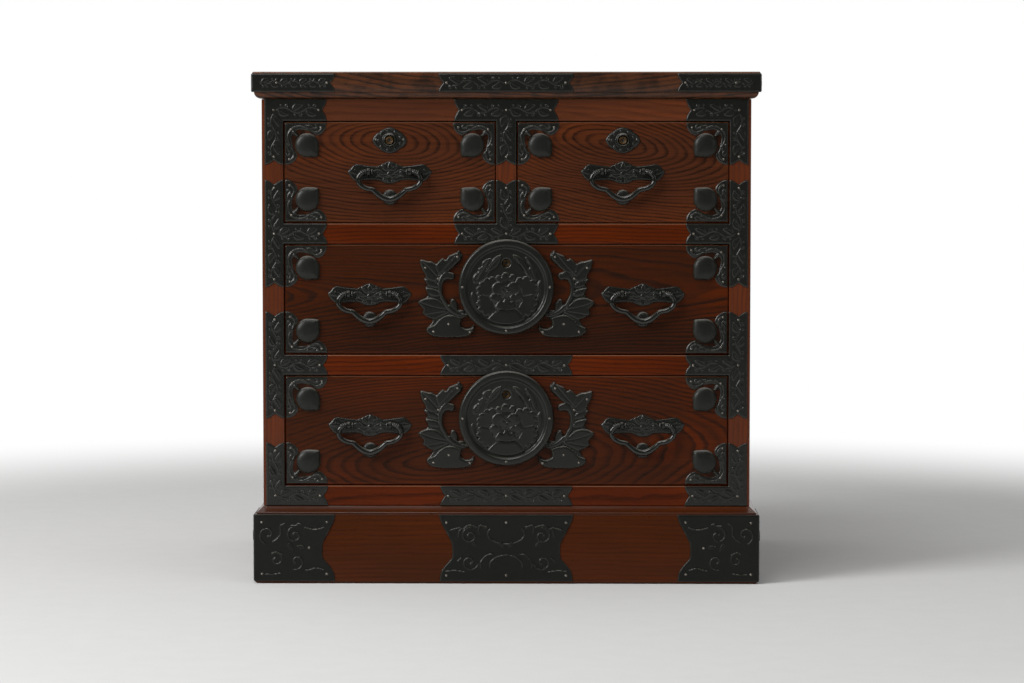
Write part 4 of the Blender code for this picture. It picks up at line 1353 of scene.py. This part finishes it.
def handle_outline():
    """Back plate about the pivot: pointed ends, a crest of three lobes above and one lobe below."""
    right = [
        (0, -14.0), (4.5, -13.6), (8.5, -12.2), (12.0, -10.4), (18.0, -9.5), (26.0, -9.6), (33.0, -10.4),
        (40.5, -10.8), (46.0, -6.6), (PLATE_HALF, 0), (48.2, 2.6), (46.5, 4.2), (44.6, 6.4), (42.0, 8.6),
        (37.5, 9.0), (28.0, 7.6), (19.0, 6.6), (15.0, 6.4), (13.2, 7.8), (10.8, 8.1), (9.2, 9.6),
        (6.6, 9.9), (5.0, 11.5), (2.2, 12.0),
    ]
    left = [(-u, v) for u, v in right[:0:-1]]
    return [*right, (0, 13.0), *left]


@cache
def handle_sheet():
    """Back plate of a handle with its flower and side leaves."""
    sheet = Sheet(smooth(handle_outline(), closed=True, steps=3), pitch=FINE_PITCH)
    for across in (-1, 1):
        upper = [(2, -3), (7, -1), (11, 1.8), (15.5, 2.6), (19, 1)]
        lower = [(1.5, -5.5), (7, -6.5), (12, -4.5), (16.5, -5.2)]
        for path in (upper, lower):
            sheet.stem(smooth([(across * u, v) for u, v in path]), 0.9, 0.7, tip=0.6)
        sheet.leaf((across * 34, 0.5), (across * 48.5, 0.8), 4.4, 0.4, bend=across * 0.6)
        sheet.leaf((across * 2, 2.2), (across * 9.5, 7.2), 2.2, 0.8)
        sheet.leaf((across * 5, -2), (across * 12.5, -1.2), 1.9, 0.7)
        sheet.leaf((across * 2.5, -7), (across * 8.5, -10.2), 2.0, 0.7)
        sheet.scroll((across * 14, -1.6), 2.2, 90, across * 0.9, 0.6, 0.6)
        sheet.boss((across * 2.4, -10.6), 1.0, 0.7)
    sheet.leaf((0, 1.5), (0.4, 11.6), 2.6, 0.8)
    sheet.boss((0, -2.4), 3.0, 1.0)
    return sheet


@cache
def eye_sheet():
    """Eye that carries a bail, in side view: u towards the front, v up."""
    outline = [(0, -EYE_RADIUS * 0.9), *arc((PIVOT_OUT, 0), EYE_RADIUS, -90, 90, 14), (0, EYE_RADIUS * 0.9)]
    return Sheet(outline, [circle(EYE_BORE, 16, (PIVOT_OUT, 0))], pitch=PLATE_PITCH)


def on_side(x, y, z):
    """Lays a sheet in a plane that faces sideways, with u towards the front."""

    def place(u, v, height):
        return np.stack([x + height * MM, y - u * MM, z + v * MM], 1)

    return place


def handle_piece(name, node, body, pivot):
    """Back plate with its flower, nails and the eyes of the bail."""
    place = on_front(pivot.x, face, pivot.z)
    shape = Shape()
    shape.add_sheet(handle_sheet(), place)
    for across in (-1, 1):
        x = pivot.x + across * EYE_MIDDLE * MM
        shape.add_sheet(eye_sheet(), on_side(x, face, pivot.z), -EYE_LENGTH / 2, EYE_LENGTH)
    shape.add_nails(handle_sheet(), PLATE_NAILS, place, radius=PLATE_NAIL)
    shape.piece(name, [handle_iron, iron], body, [node])


def stud_piece(name, body, pivot):
    """Domed strike plate behind the grip of a bail."""
    sheet = Sheet(circle(STUD_RADIUS, 48, (0, -STUD_DROP)))
    far = np.hypot(*(sheet.at - (0, -STUD_DROP)).T) / STUD_RADIUS
    sheet.rise = (STUD_RISE - IRON_SHEET) * np.sqrt(np.clip(1.01 - far**2, 0, 1))
    shape = Shape()
    shape.add_sheet(sheet, on_front(pivot.x, face, pivot.z), CORNER_BACK)
    shape.piece(name, [punched_iron], body)


def oval_lock(name, node, body, lock):
    """Pointed oval lock plate with nicked shoulders, a punched ground and a raised collar."""
    outline = []
    for angle in np.radians(np.arange(0, 360, 3)):
        c, s = math.cos(angle), math.sin(angle)
        nick = 1 - 0.05 * math.exp(-((abs(s) - 0.72) / 0.06) ** 2)
        u = OVAL_HALF_WIDTH * math.copysign(abs(c) ** 1.3, c) * nick
        v = OVAL_HALF_HEIGHT * math.copysign(abs(s) ** 1.25, s) * nick
        outline.append((u, v))
    sheet = Sheet(outline, [circle(BORE, 32)], pitch=0.6)
    far = np.hypot(*sheet.at.T)
    rim_line = np.exp(-(((sheet.gap - 1.8) / 0.5) ** 2)) * (far > COLLAR_RADIUS + 2)
    sheet.rise = 0.4 * rim_line
    for angle in range(20, 380, 40):
        turn = math.radians(angle)
        spot = COLLAR_RADIUS * 1.28 * np.array((math.cos(turn) * 1.15, math.sin(turn)))
        sheet.boss(spot, 1.5, 0.8)
    outer, inner = eased((COLLAR_RADIUS - far) / 2.4), 0.35 + 0.65 * eased((far - BORE) / 1.1)
    collar = COLLAR_RISE * np.minimum(outer, inner)
    sheet.rise = np.where(far < COLLAR_RADIUS, np.maximum(sheet.rise, collar), sheet.rise)
    place = on_front(lock.x, face, lock.z)
    shape = Shape()
    shape.add_sheet(sheet, place)
    shape.add_nails(sheet, OVAL_NAILS, place, radius=OVAL_NAIL)
    shape.piece(name, [punched_iron, nails], body, [node])


def peony(sheet):
    """Peony in full bloom with its leaves, over the dish of a round lock plate."""
    leaves = (
        ([(-38.6, 5), (-39.5, 11), (-36.5, 16), (-33.5, 18), (-32.5, 22.5), (-29, 24.5), (-28, 30),
          (-22, 34), (-16, 33), (-17, 25), (-22, 15), (-27, 8), (-33, 5)], 0.2),
        ([(-26, 18.5), (-20.4, 27), (-14.7, 34.7), (-7.0, 38.4), (-6.0, 35), (-10, 26), (-18, 19.5)], 0.8),
        ([(26, 18.5), (28, 24.2), (25, 30), (22.5, 36), (28, 33), (33, 26), (36.5, 17), (36, 9),
          (31, 8)], 0.2),
        ([(28, 8), (23.2, 15.7), (17.5, 25.4), (12, 30.5), (7.5, 38), (14, 37), (20, 32), (25, 25),
          (29, 16)], 0.7),
        ([(36, -16), (40.5, -10), (43, 0), (41, 8), (37.5, 4), (36.5, -6)], 0.2),
        ([(-34, -30), (-40, -22), (-42.5, -12), (-40, -6), (-36.5, -14)], 0.2),
    )
    for outline, level in leaves:
        sheet.pad(outline, level, 1.2, 2.2)
    for rib in ([(-24, 20), (-8, 37)], [(-36, 8), (-22, 32)], [(28, 10), (10, 36)], [(33, 11), (25, 33)]):
        sheet.vein(rib, 0.8, 0.5)
    heart = (0, -12)
    back_petals = (
        ((-17, 8.2, 4.4), (-23.4, 6.8, 4.4), (-29, 2.6, 4.2), (-32.4, -2.8, 3.8), (-32.6, -8.4, 3.4)),
        ((16, 7.5, 4.6), (23.4, 8, 5), (30, 4.2, 4.4), (34.2, -1, 4.2), (34, -7, 4)),
        ((-9.4, 10.4, 3.8), (-1.2, 12.6, 5), (7.4, 11.4, 4)),
    )
    for lobes in back_petals:
        sheet.lobed(heart, lobes, 0.3, 1.7)
    side_petals = (
        ((-30.4, -13, 4), (-32, -19.5, 4), (-30, -26.4, 4.4), (-24.6, -31, 4.4), (-17.6, -33, 4.4)),
        ((31, -12, 4.2), (34, -18.6, 4.2), (32, -26, 4.4), (26.4, -31.2, 4.4), (19, -33, 4.4)),
    )
    for lobes in side_petals:
        sheet.lobed((0.5, -15), lobes, 0.5, 1.8)
    sheet.pad(circle(19, 24, (0.6, -11)), 0.7, 1.3, 5.0)
    for lobe in ((-8.6, -2.2, 8.9), (8.6, -1.6, 8)):
        sheet.lobed(heart, (lobe,), 1.1, 1.8)
    for middle in ((-3.2, -4.6), (0.2, -1.6), (3.4, -4.4), (0.4, -7.4)):
        sheet.boss(middle, 2.6, 1.2, 2.0)
    for lobes in (((-14.4, -12.4, 5.2), (-9, -12, 4.2)), ((14.4, -11.6, 5.4), (8.6, -12.2, 4.2))):
        sheet.lobed((0, -22), lobes, 1.4, 1.7)
    front = [
        (-12.4, -20), (-9.4, -16), (-5.4, -15.8), (-4.2, -16.6), (-2.6, -14.2), (0.6, -13.4), (3.8, -14.4),
        (5.2, -16.6), (6.6, -15.6), (10.4, -16), (13.2, -20), (14.4, -25), (9, -29), (0.6, -30.6),
        (-8, -29), (-13.6, -25),
    ]
    sheet.pad(front, 1.0, 2.2, 4.5)
    low = [
        (-22.5, -39.6), (-18.4, -33), (-13.4, -28.8), (-7, -26.8), (2, -27.4), (11, -26.8), (16.6, -31),
        (22, -38.4), (18, -47), (2, -51), (-14, -49),
    ]
    sheet.pad(low, 0.7, 2.0, 3.6)


@cache
def roundel():
    """Round lock plate: a rolled rim, a dish, the peony and the keyhole."""
    sheet = Sheet(circle(ROUNDEL, 240), [circle(BORE, 32, (0, KEYHOLE_RISE))], pitch=FINE_PITCH)
    peony(sheet)
    far = np.hypot(*sheet.at.T)
    outer = np.sqrt(np.clip(1 - ((far - ROUNDEL_TOP) / (ROUNDEL - ROUNDEL_TOP)) ** 2, 0, 1))
    inner = eased((far - DISH) / DISH_WALL)
    rim = ROUNDEL_CREST * np.where(far > ROUNDEL_TOP, outer, inner)
    sheet.rise = np.where(far > DISH, rim, sheet.rise * eased((DISH - far) / 2))
    keyhole = np.hypot(sheet.at[:, 0], sheet.at[:, 1] - KEYHOLE_RISE)
    sheet.rise = np.where(keyhole < KEYHOLE_FLAT, np.minimum(sheet.rise, 0.3), sheet.rise)
    return sheet


def wing_outline():
    """Left leaf wing about the middle of the roundel."""
    corners = [
        (-57, -27.4), (-58, -20.5), (-62, -15), (-66, -15), (-68.5, -21.5), (-72, -16), (-75.5, -9),
        (-76, 0.5), (-73.6, 6.6), (-69.4, 8.8), (-65.6, 8.2), (-62.2, 9.6), (-61, 12.8), (-62.6, 16),
        (-65.6, 17.4), (-68.6, 18.6), (-65, 21.6), (-59.6, 25.8), (-54.6, 30.6), (-52, 35.6), (-53, 40.2),
        (-57.1, 43.6), (-59.7, 41.1), (-64.1, 39.2), (-69.2, 36.9), (-72.6, 32.6), (-75.7, 34.2),
        (-78.6, 32.6), (-82, 29.6), (-83.8, 27.6), (-88, 30.4), (-93.2, 30.6), (-103, 32.4), (-101, 22),
        (-96.5, 13), (-98.5, 8.5), (-94.5, 3), (-96.8, -2), (-94, -7.5), (-95.5, -12.5), (-105.8, -18.5),
        (-99, -26.5), (-100, -32), (-92, -37.5), (-87.5, -39.5), (-91, -45.5), (-96, -51), (-91, -57.5),
        (-80, -60.3), (-60, -60.5), (-46, -58.8), (-39.5, -53), (-38.5, -45), (-43, -48.6), (-49, -49.6),
        (-54, -45.5), (-54, -40), (-50, -36.5), (-42, -33.5), (-42, -26.5),
    ]
    return smooth(corners, closed=True, steps=3)


@cache
def wing():
    """Leaf wing with a hooked stem, full leaves and buds."""
    sheet = Sheet(wing_outline())
    pads = (
        ([(-104, 33), (-95, 32), (-88, 29), (-83.5, 26), (-79, 12), (-85, 6), (-93, 8), (-98, 13),
          (-101, 22)], 0.2),
        ([(-84.5, 26), (-82, 30), (-78.6, 33), (-75.7, 34.6), (-72.6, 33), (-69, 37.4), (-64, 39.8),
          (-57, 44), (-54, 34), (-61, 26), (-68, 16), (-77, 11), (-82, 16)], 0.6),
        ([(-98.5, 8.5), (-92, 8.4), (-83, 5), (-80, 0), (-84, -2), (-92, 0), (-97, 3)], 0.6),
        ([(-96.8, -2), (-90, -1.8), (-82, -4.5), (-78, -10), (-84, -12), (-92, -10), (-95.5, -7)], 0.8),
        ([(-68, -15), (-61, -14), (-56, -24), (-50, -31), (-58, -31), (-66, -24)], 0.3),
        ([(-106, -18.5), (-100, -14.8), (-92, -13.4), (-84, -14.6), (-75, -21), (-68, -30), (-78, -36),
          (-88, -40), (-98, -38), (-101, -31)], 0.5),
        ([(-97, -51), (-87, -46), (-80.5, -39), (-71, -33.8), (-60, -34.8), (-53, -38.5), (-55, -46),
          (-49, -50.5), (-42, -49.5), (-38, -44.5), (-38, -54), (-46, -60), (-70, -62), (-90, -60)], 0.9),
    )
    for outline, level in pads:
        sheet.pad(outline, level, 1.5)
    ribs = (
        [(-82, 13), (-70, 26), (-59, 40)],
        [(-83, 12), (-92, 22), (-101, 30)],
        [(-72, -27), (-88, -24), (-103, -19)],
        [(-74, -30), (-86, -32), (-98, -34)],
    )
    for rib in ribs:
        sheet.vein(smooth(rib), 0.8, 0.5)
    hook = [
        (-60.8, 12.8), (-62.4, 16.2), (-65.6, 17.6), (-70.6, 19), (-76.6, 16), (-80.6, 9), (-82, 1),
        (-80.6, -8), (-76.6, -18), (-69.6, -28), (-60, -34.6), (-46, -37), (-46, -33.2), (-56, -30.6),
        (-65, -24), (-72, -14), (-75.4, -4), (-75.6, 3), (-73.2, 8.2), (-69.6, 8.8), (-65.6, 8),
        (-62, 9.4),
    ]
    sheet.pad(hook, 0.8, 1.8, 2.6)
    spots = [(-58.3, 35.8), (-96.5, 22.8), (-81.2, 9.8), (-68.8, -44.4), (-86.8, -53.5), (-43.5, -54)]
    return sheet, spots


def round_lock(name, node, body, lock):
    """Round lock plate with its wings, standing over the drawer's upper edge."""
    middle = Vector((lock.x, face, lock.z - KEYHOLE_RISE * MM))
    place = on_front(*middle)
    shape = Shape()
    shape.add_sheet(roundel(), place, ROUNDEL_BACK, ROUNDEL_SKIN)
    boss = Sheet(circle(ROUNDEL_BOSS, 96), [circle(BORE, 32, (0, KEYHOLE_RISE))], pitch=6.0)
    shape.add_sheet(boss, place, IRON_BACK, ROUNDEL_BACK - IRON_BACK + 0.2)
    shape.add_nails(roundel(), ROUNDEL_NAILS, place, ROUNDEL_BACK, ROUNDEL_SKIN)
    sheet, spots = wing()
    for across in (1, -1):
        side = on_front(*middle, across)
        shape.add_sheet(sheet, side, 2 * IRON_BACK)
        shape.add_nails(sheet, spots, side, 2 * IRON_BACK)
    shape.piece(name, IRONWORK, body, [node])


def lock_plug(name, node, sunk=0.0):
    """Brass plug with a key slot, sunk in its keyhole, and the cam that turns up behind the rail."""
    low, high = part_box(node)
    lock = pivot_of[node]
    place = on_front(lock.x, lock.y, lock.z)
    nose = (lock.y - low.y) / MM - sunk
    tail = (lock.y - high.y) / MM
    sheet = Sheet(circle(PLUG_RADIUS, 40), pitch=0.4)
    far = np.hypot(*sheet.at.T)
    sheet.rise = -2.0 * np.clip((PLUG_RADIUS - 0.5 - far) / 1.8, 0, 1)
    slot_gap, _ = nearest(sheet.at, np.array([(0, -1.6), (0, 1.6)]))
    sheet.rise -= 0.5 * eased((0.7 - slot_gap) / 0.3)
    shape = Shape()
    shape.add_sheet(sheet, place, nose - PLUG_FACE, PLUG_FACE)
    # The middle of the plug's face takes the painted shade of the keyway
    shape.refinish_faces(sheet, far < KEYWAY_RADIUS - 0.1, 1)
    shape.add_turned([(PLUG_RADIUS, tail + 1.2), (PLUG_RADIUS, nose - PLUG_FACE + 0.1)], place, 32)
    reach = (high.x - lock.x) / MM
    half = (high.z - low.z) / MM / 2
    tip, heel = arc((reach - half, 0), half, -90, 90, 12), arc((0, 0), half, 90, 270, 12)
    cam = Sheet([(-1, -half), *tip, (-1, half), *heel], pitch=1.2)
    shape.add_sheet(cam, place, tail, CAM_THICKNESS)
    shape.piece(name, [brass, slot_dark], node, [node])


def drawer_box(name, node, body):
    """Drawer box of planed boards: sides, back and bottom, with finger joints at the back."""
    low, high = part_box(node)
    wall, floor, gap = BOX_WALL * MM, BOX_FLOOR * MM, BOX_SEAM * MM
    bm = bmesh.new()

    def plank(x0, x1, y0, y1, z0, z1):
        made = bmesh.ops.create_cube(bm, size=1.0)["verts"]
        bmesh.ops.scale(bm, vec=(x1 - x0, y1 - y0, z1 - z0), verts=made)
        bmesh.ops.translate(bm, vec=((x0 + x1) / 2, (y0 + y1) / 2, (z0 + z1) / 2), verts=made)

    height = (high.z - low.z) / BOX_FINGERS
    plank(low.x, low.x + wall, low.y, high.y - wall - gap, low.z, high.z)
    plank(high.x - wall, high.x, low.y, high.y - wall - gap, low.z, high.z)
    plank(low.x + wall + gap, high.x - wall - gap, high.y - wall, high.y, low.z, high.z)
    for i in range(BOX_FINGERS):
        z0, z1 = low.z + i * height + gap, low.z + (i + 1) * height - gap
        for x0, x1 in ((low.x, low.x + wall), (high.x - wall, high.x)):
            inset = 0.0 if i % 2 else FINGER_STEP * MM
            plank(x0 + inset, x1 - inset, high.y - wall, high.y - inset, z0, z1)
    plank(low.x + wall + gap, high.x - wall - gap, low.y, high.y - wall - gap, low.z, low.z + floor)
    mesh = bpy.data.meshes.new(name)
    bm.to_mesh(mesh)
    bm.free()
    mesh.materials.append(bare_wood)
    box = fitted(bpy.data.objects.new(name, mesh), body, [node])
    ease = box.modifiers.new("eased_edges", "BEVEL")
    ease.width = BOX_EASE * MM
    ease.segments = 2


def dress_drawer(drawer, corners):
    """Everything on one drawer."""
    lock_name = drawer + "_lock_cylinder"
    lock = pivot_of[lock_name]
    front_low, front_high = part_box(drawer + "_front")
    front_board(drawer + "_front_board", drawer, front_low, front_high, lock)
    legs, peach, spots = corners
    margin = CORNER_MARGIN * MM
    for side, across, x in (("left", 1, front_low.x + margin), ("right", -1, front_high.x - margin)):
        for end, upside, z in (("top", 1, front_high.z - margin), ("foot", -1, front_low.z + margin)):
            place = on_front(x, face, z, across, upside)
            shape = Shape()
            shape.add_sheet(legs, place, CORNER_BACK)
            shape.add_sheet(peach, place, CORNER_BACK, PEACH_SKIN, finish=2)
            shape.add_nails(legs, spots, place, CORNER_BACK, radius=CORNER_NAIL)
            shape.piece(f"{drawer}_{end}_{side}_corner", [*IRONWORK, peach_iron], drawer)
    for body, pivot in pivot_of.items():
        if not body.startswith(drawer) or not body.endswith("_bail"):
            continue
        stem = body.removesuffix("_bail")
        handle_piece(stem + "_handle", stem + "_handle_plate", drawer, pivot)
        stud_piece(stem + "_strike", drawer, pivot)
        bail_piece(stem + "_bail_bar", body)
    if drawer + "_escutcheon" in frame["nodes"]:
        oval_lock(drawer + "_oval_lock", drawer + "_escutcheon", drawer, lock)
        lock_plug(lock_name + "_plug", lock_name)
    else:
        round_lock(drawer + "_round_lock", drawer + "_lock_plate", drawer, lock)
        lock_plug(lock_name + "_plug", lock_name, PLUG_SUNK)
    drawer_box(drawer + "_boards", drawer + "_box", drawer)


# Woodwork


def moulded(name, levels, finishes, replaces, moulding=None):
    """A board with a moulded edge: outlines at rising heights, joined level to level. Metres."""
    count = len(levels[0][1])
    points = [(x, y, z) for z, outline in levels for x, y in outline]
    faces = tube(len(levels), count)
    shape = Shape()
    shape.add(points, faces)
    if moulding:
        first = 1 + moulding * count
        shape.finish_of[first:] = [1] * (len(faces) - first)
    shape.piece(name, finishes, "carcass", [replaces], MOULDING_CREASE)


def quarter(steps=6):
    """Angles over a quarter turn."""
    return [math.pi / 2 * i / steps for i in range(steps + 1)]


def top_piece():
    """Top board with a round upper edge and a convex moulding under its ledge."""
    low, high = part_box("top_board")
    overhang = high.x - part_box("right_side")[1].x
    slope, ledge, ease = TOP_SLOPE * MM, TOP_LEDGE * MM, TOP_ROUND * MM
    edge = low.z + slope

    def level(inset):
        return [
            (low.x + inset, low.y + inset),
            (high.x - inset, low.y + inset),
            (high.x - inset, high.y),
            (low.x + inset, high.y),
        ]

    levels = []
    for angle in quarter():
        inset = overhang - (overhang - ledge) * math.sin(angle)
        levels.append((edge - slope * math.cos(angle), level(inset)))
    levels.append((edge + 0.2 * MM, level(0.3 * MM)))
    levels.append((edge + 0.6 * MM, level(0)))
    for angle in quarter():
        levels.append((high.z - ease * (1 - math.sin(angle)), level(ease * (1 - math.cos(angle)))))
    moulded("top_panel", levels, [top_wood], "top_board")


def plinth_profile(height, base, overhang):
    """(height, inset) up a plinth board: face, lip, groove, bead and slope to the carcass."""
    rows = [(0, 3.0 * MM), (2.8 * MM, 0), (height - 0.8 * MM, 0), (height - 0.2 * MM, 0.3 * MM)]
    rows += [(height + 0.1 * MM, 1.0 * MM), (height + 0.1 * MM, 2.2 * MM), (height + 0.9 * MM, 2.5 * MM)]
    for angle in quarter(5):
        inset = 2.0 * MM + 1.4 * MM * (1 - math.cos(angle))
        rows.append((height + 0.9 * MM + 1.6 * MM * math.sin(angle), inset))
    rows.append((base, overhang))
    return rows


def plinth_pieces():
    """Front board of the plinth, and its sides and back as one frame."""
    low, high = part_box("base_front")
    frame_low, frame_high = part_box("base_frame")
    overhang = high.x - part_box("right_side")[1].x
    height = PLINTH_HEIGHT * MM
    rows = plinth_profile(height, high.z, overhang)
    levels = []
    for z, inset in rows:
        front, side = low.y + inset, high.x - inset
        levels.append((z, [(-side, front), (side, front), (side, high.y), (-side, high.y)]))
    moulded("plinth_front", levels, [plinth_wood, moulding_wood], "base_front", 2)
    wall = PLINTH_WALL * MM
    inner, inner_end = high.x - wall, frame_high.y - wall
    levels = []
    for z, inset in rows:
        side = high.x - inset
        outline = [
            (-side, frame_low.y),
            (-inner, frame_low.y),
            (-inner, inner_end),
            (inner, inner_end),
            (inner, frame_low.y),
            (side, frame_low.y),
            (side, frame_high.y),
            (-side, frame_high.y),
        ]
        levels.append((z, outline))
    moulded("plinth_sides", levels, [plinth_end_wood, moulding_wood], "base_frame", 2)


def stain(node, finish):
    """Gives a solid that stays its finish."""
    for slot in frame["nodes"][node].material_slots:
        slot.link = "OBJECT"
        slot.material = finish


def dress_carcass():
    """Wood of the carcass: moulded top and plinth, rails, and the solids that stay."""
    top_piece()
    plinth_pieces()
    for node in ("left_side", "right_side", "center_partition", "back_panel"):
        stain(node, stile_wood)
    for node in ("top_rail", "upper_rail", "lower_rail", "bottom_rail"):
        rail_board(node)
    for node in ("bottom_board", "lower_dust_panel", "upper_dust_panel"):
        stain(node, panel_wood)


# Studio, in metres, with the lens in millimetres

CAMERA_PLACE = (0.0534, -4.011, 0.54965)
CAMERA_TURN = (math.radians(86.1035), 0.0, math.radians(0.7))
LENS = 112.5
SENSOR = 36.0
FLOOR_RADIUS = 1.9
FLOOR_FADE = 0.9
ROOM_LIGHT = 0.42
ROOM_AHEAD = 0.06


def set_camera():
    """View from the front, a little above the chest."""
    lens = bpy.data.cameras.new("camera")
    lens.lens = LENS
    lens.sensor_width = SENSOR
    camera = bpy.data.objects.new("camera", lens)
    camera.location = CAMERA_PLACE
    camera.rotation_euler = CAMERA_TURN
    bpy.context.scene.collection.objects.link(camera)
    bpy.context.scene.camera = camera


def lay_floor():
    """Pale round floor that keeps the shadow near the chest and fades to white at its edge."""
    finish = Finish(bpy.data.materials.new("pale_floor"))
    place = finish.place()
    far = finish.node("ShaderNodeVectorMath", {"operation": "LENGTH"}, {0: place}, "Value")
    grain = finish.noise(place, 30.0, 4.0)
    pale = finish.mixed((0.69, 0.69, 0.68, 1.0), (0.73, 0.73, 0.72, 1.0), grain)
    matt = finish.node("ShaderNodeBsdfDiffuse", {}, {"Color": pale})
    seen, glossy, through = finish.rays()
    behind = finish.axes(place)[1].spread(-0.2, 0.4)
    white = finish.node("ShaderNodeEmission", {}, {"Color": (1.0, 1.0, 1.0, 1.0), "Strength": 1.0})
    share = (seen + (glossy + through) * behind).clamped() * far.spread(FLOOR_FADE, 0.9 * FLOOR_RADIUS)
    blend = finish.node("ShaderNodeMixShader", {}, {0: share, 1: matt, 2: white})
    finish.node("ShaderNodeOutputMaterial", {}, {"Surface": blend})
    mesh = bpy.data.meshes.new("floor")
    edge = circle(FLOOR_RADIUS, 96)
    mesh.from_pydata([(x, y, 0) for x, y in edge], [], [list(range(len(edge)))])
    mesh.materials.append(finish.owner)
    floor = bpy.data.objects.new("floor", mesh)
    bpy.context.scene.collection.objects.link(floor)


def light_room():
    """White surroundings, dim in front of the chest so that the dark lacquer stays deep."""
    world = bpy.data.worlds.new("room")
    bpy.context.scene.world = world
    finish = Finish(world)
    seen, glossy, through = finish.rays()
    way = finish.axes(finish.node("ShaderNodeTexCoord", {}, {}, "Generated"))
    mirrored = way[1].spread(-0.3, 0.3, ROOM_AHEAD, 1.0)
    shine = (glossy + through).clamped()
    lit = ROOM_LIGHT * (1 - shine) + mirrored * shine
    strength = seen + lit * (1 - seen)
    sky = finish.node("ShaderNodeBackground", {}, {"Color": (1.0, 1.0, 1.0, 1.0), "Strength": strength})
    finish.node("ShaderNodeOutputWorld", {}, {"Surface": sky})


def hang_lamp(name, place, aim, size, power):
    """A soft lamp turned towards a place."""
    lamp = bpy.data.lights.new(name, "AREA")
    lamp.shape = "RECTANGLE"
    lamp.size, lamp.size_y = size
    lamp.energy = power
    obj = bpy.data.objects.new(name, lamp)
    obj.location = place
    obj.rotation_euler = (Vector(aim) - Vector(place)).to_track_quat("-Z", "Y").to_euler()
    bpy.context.scene.collection.objects.link(obj)


def set_studio():
    """Viewpoint, floor, room and lamps."""
    bpy.context.scene.view_settings.view_transform = "Standard"
    set_camera()
    lay_floor()
    light_room()
    middle = (0, -0.2, 0.35)
    hang_lamp("window", (-2.7, -2.0, 2.0), middle, (1.6, 1.8), 92)
    hang_lamp("ceiling", (-0.6, -1.1, 2.8), middle, (1.3, 0.8), 18)
    hang_lamp("fill", (2.6, -2.6, 1.2), middle, (1.4, 1.4), 6)


dress_carcass()
dress_face()
dress_edges()
drawer_corners = corner_mount()
for drawer_name in ("upper_left_drawer", "upper_right_drawer", "middle_drawer", "bottom_drawer"):
    dress_drawer(drawer_name, drawer_corners)
set_studio()
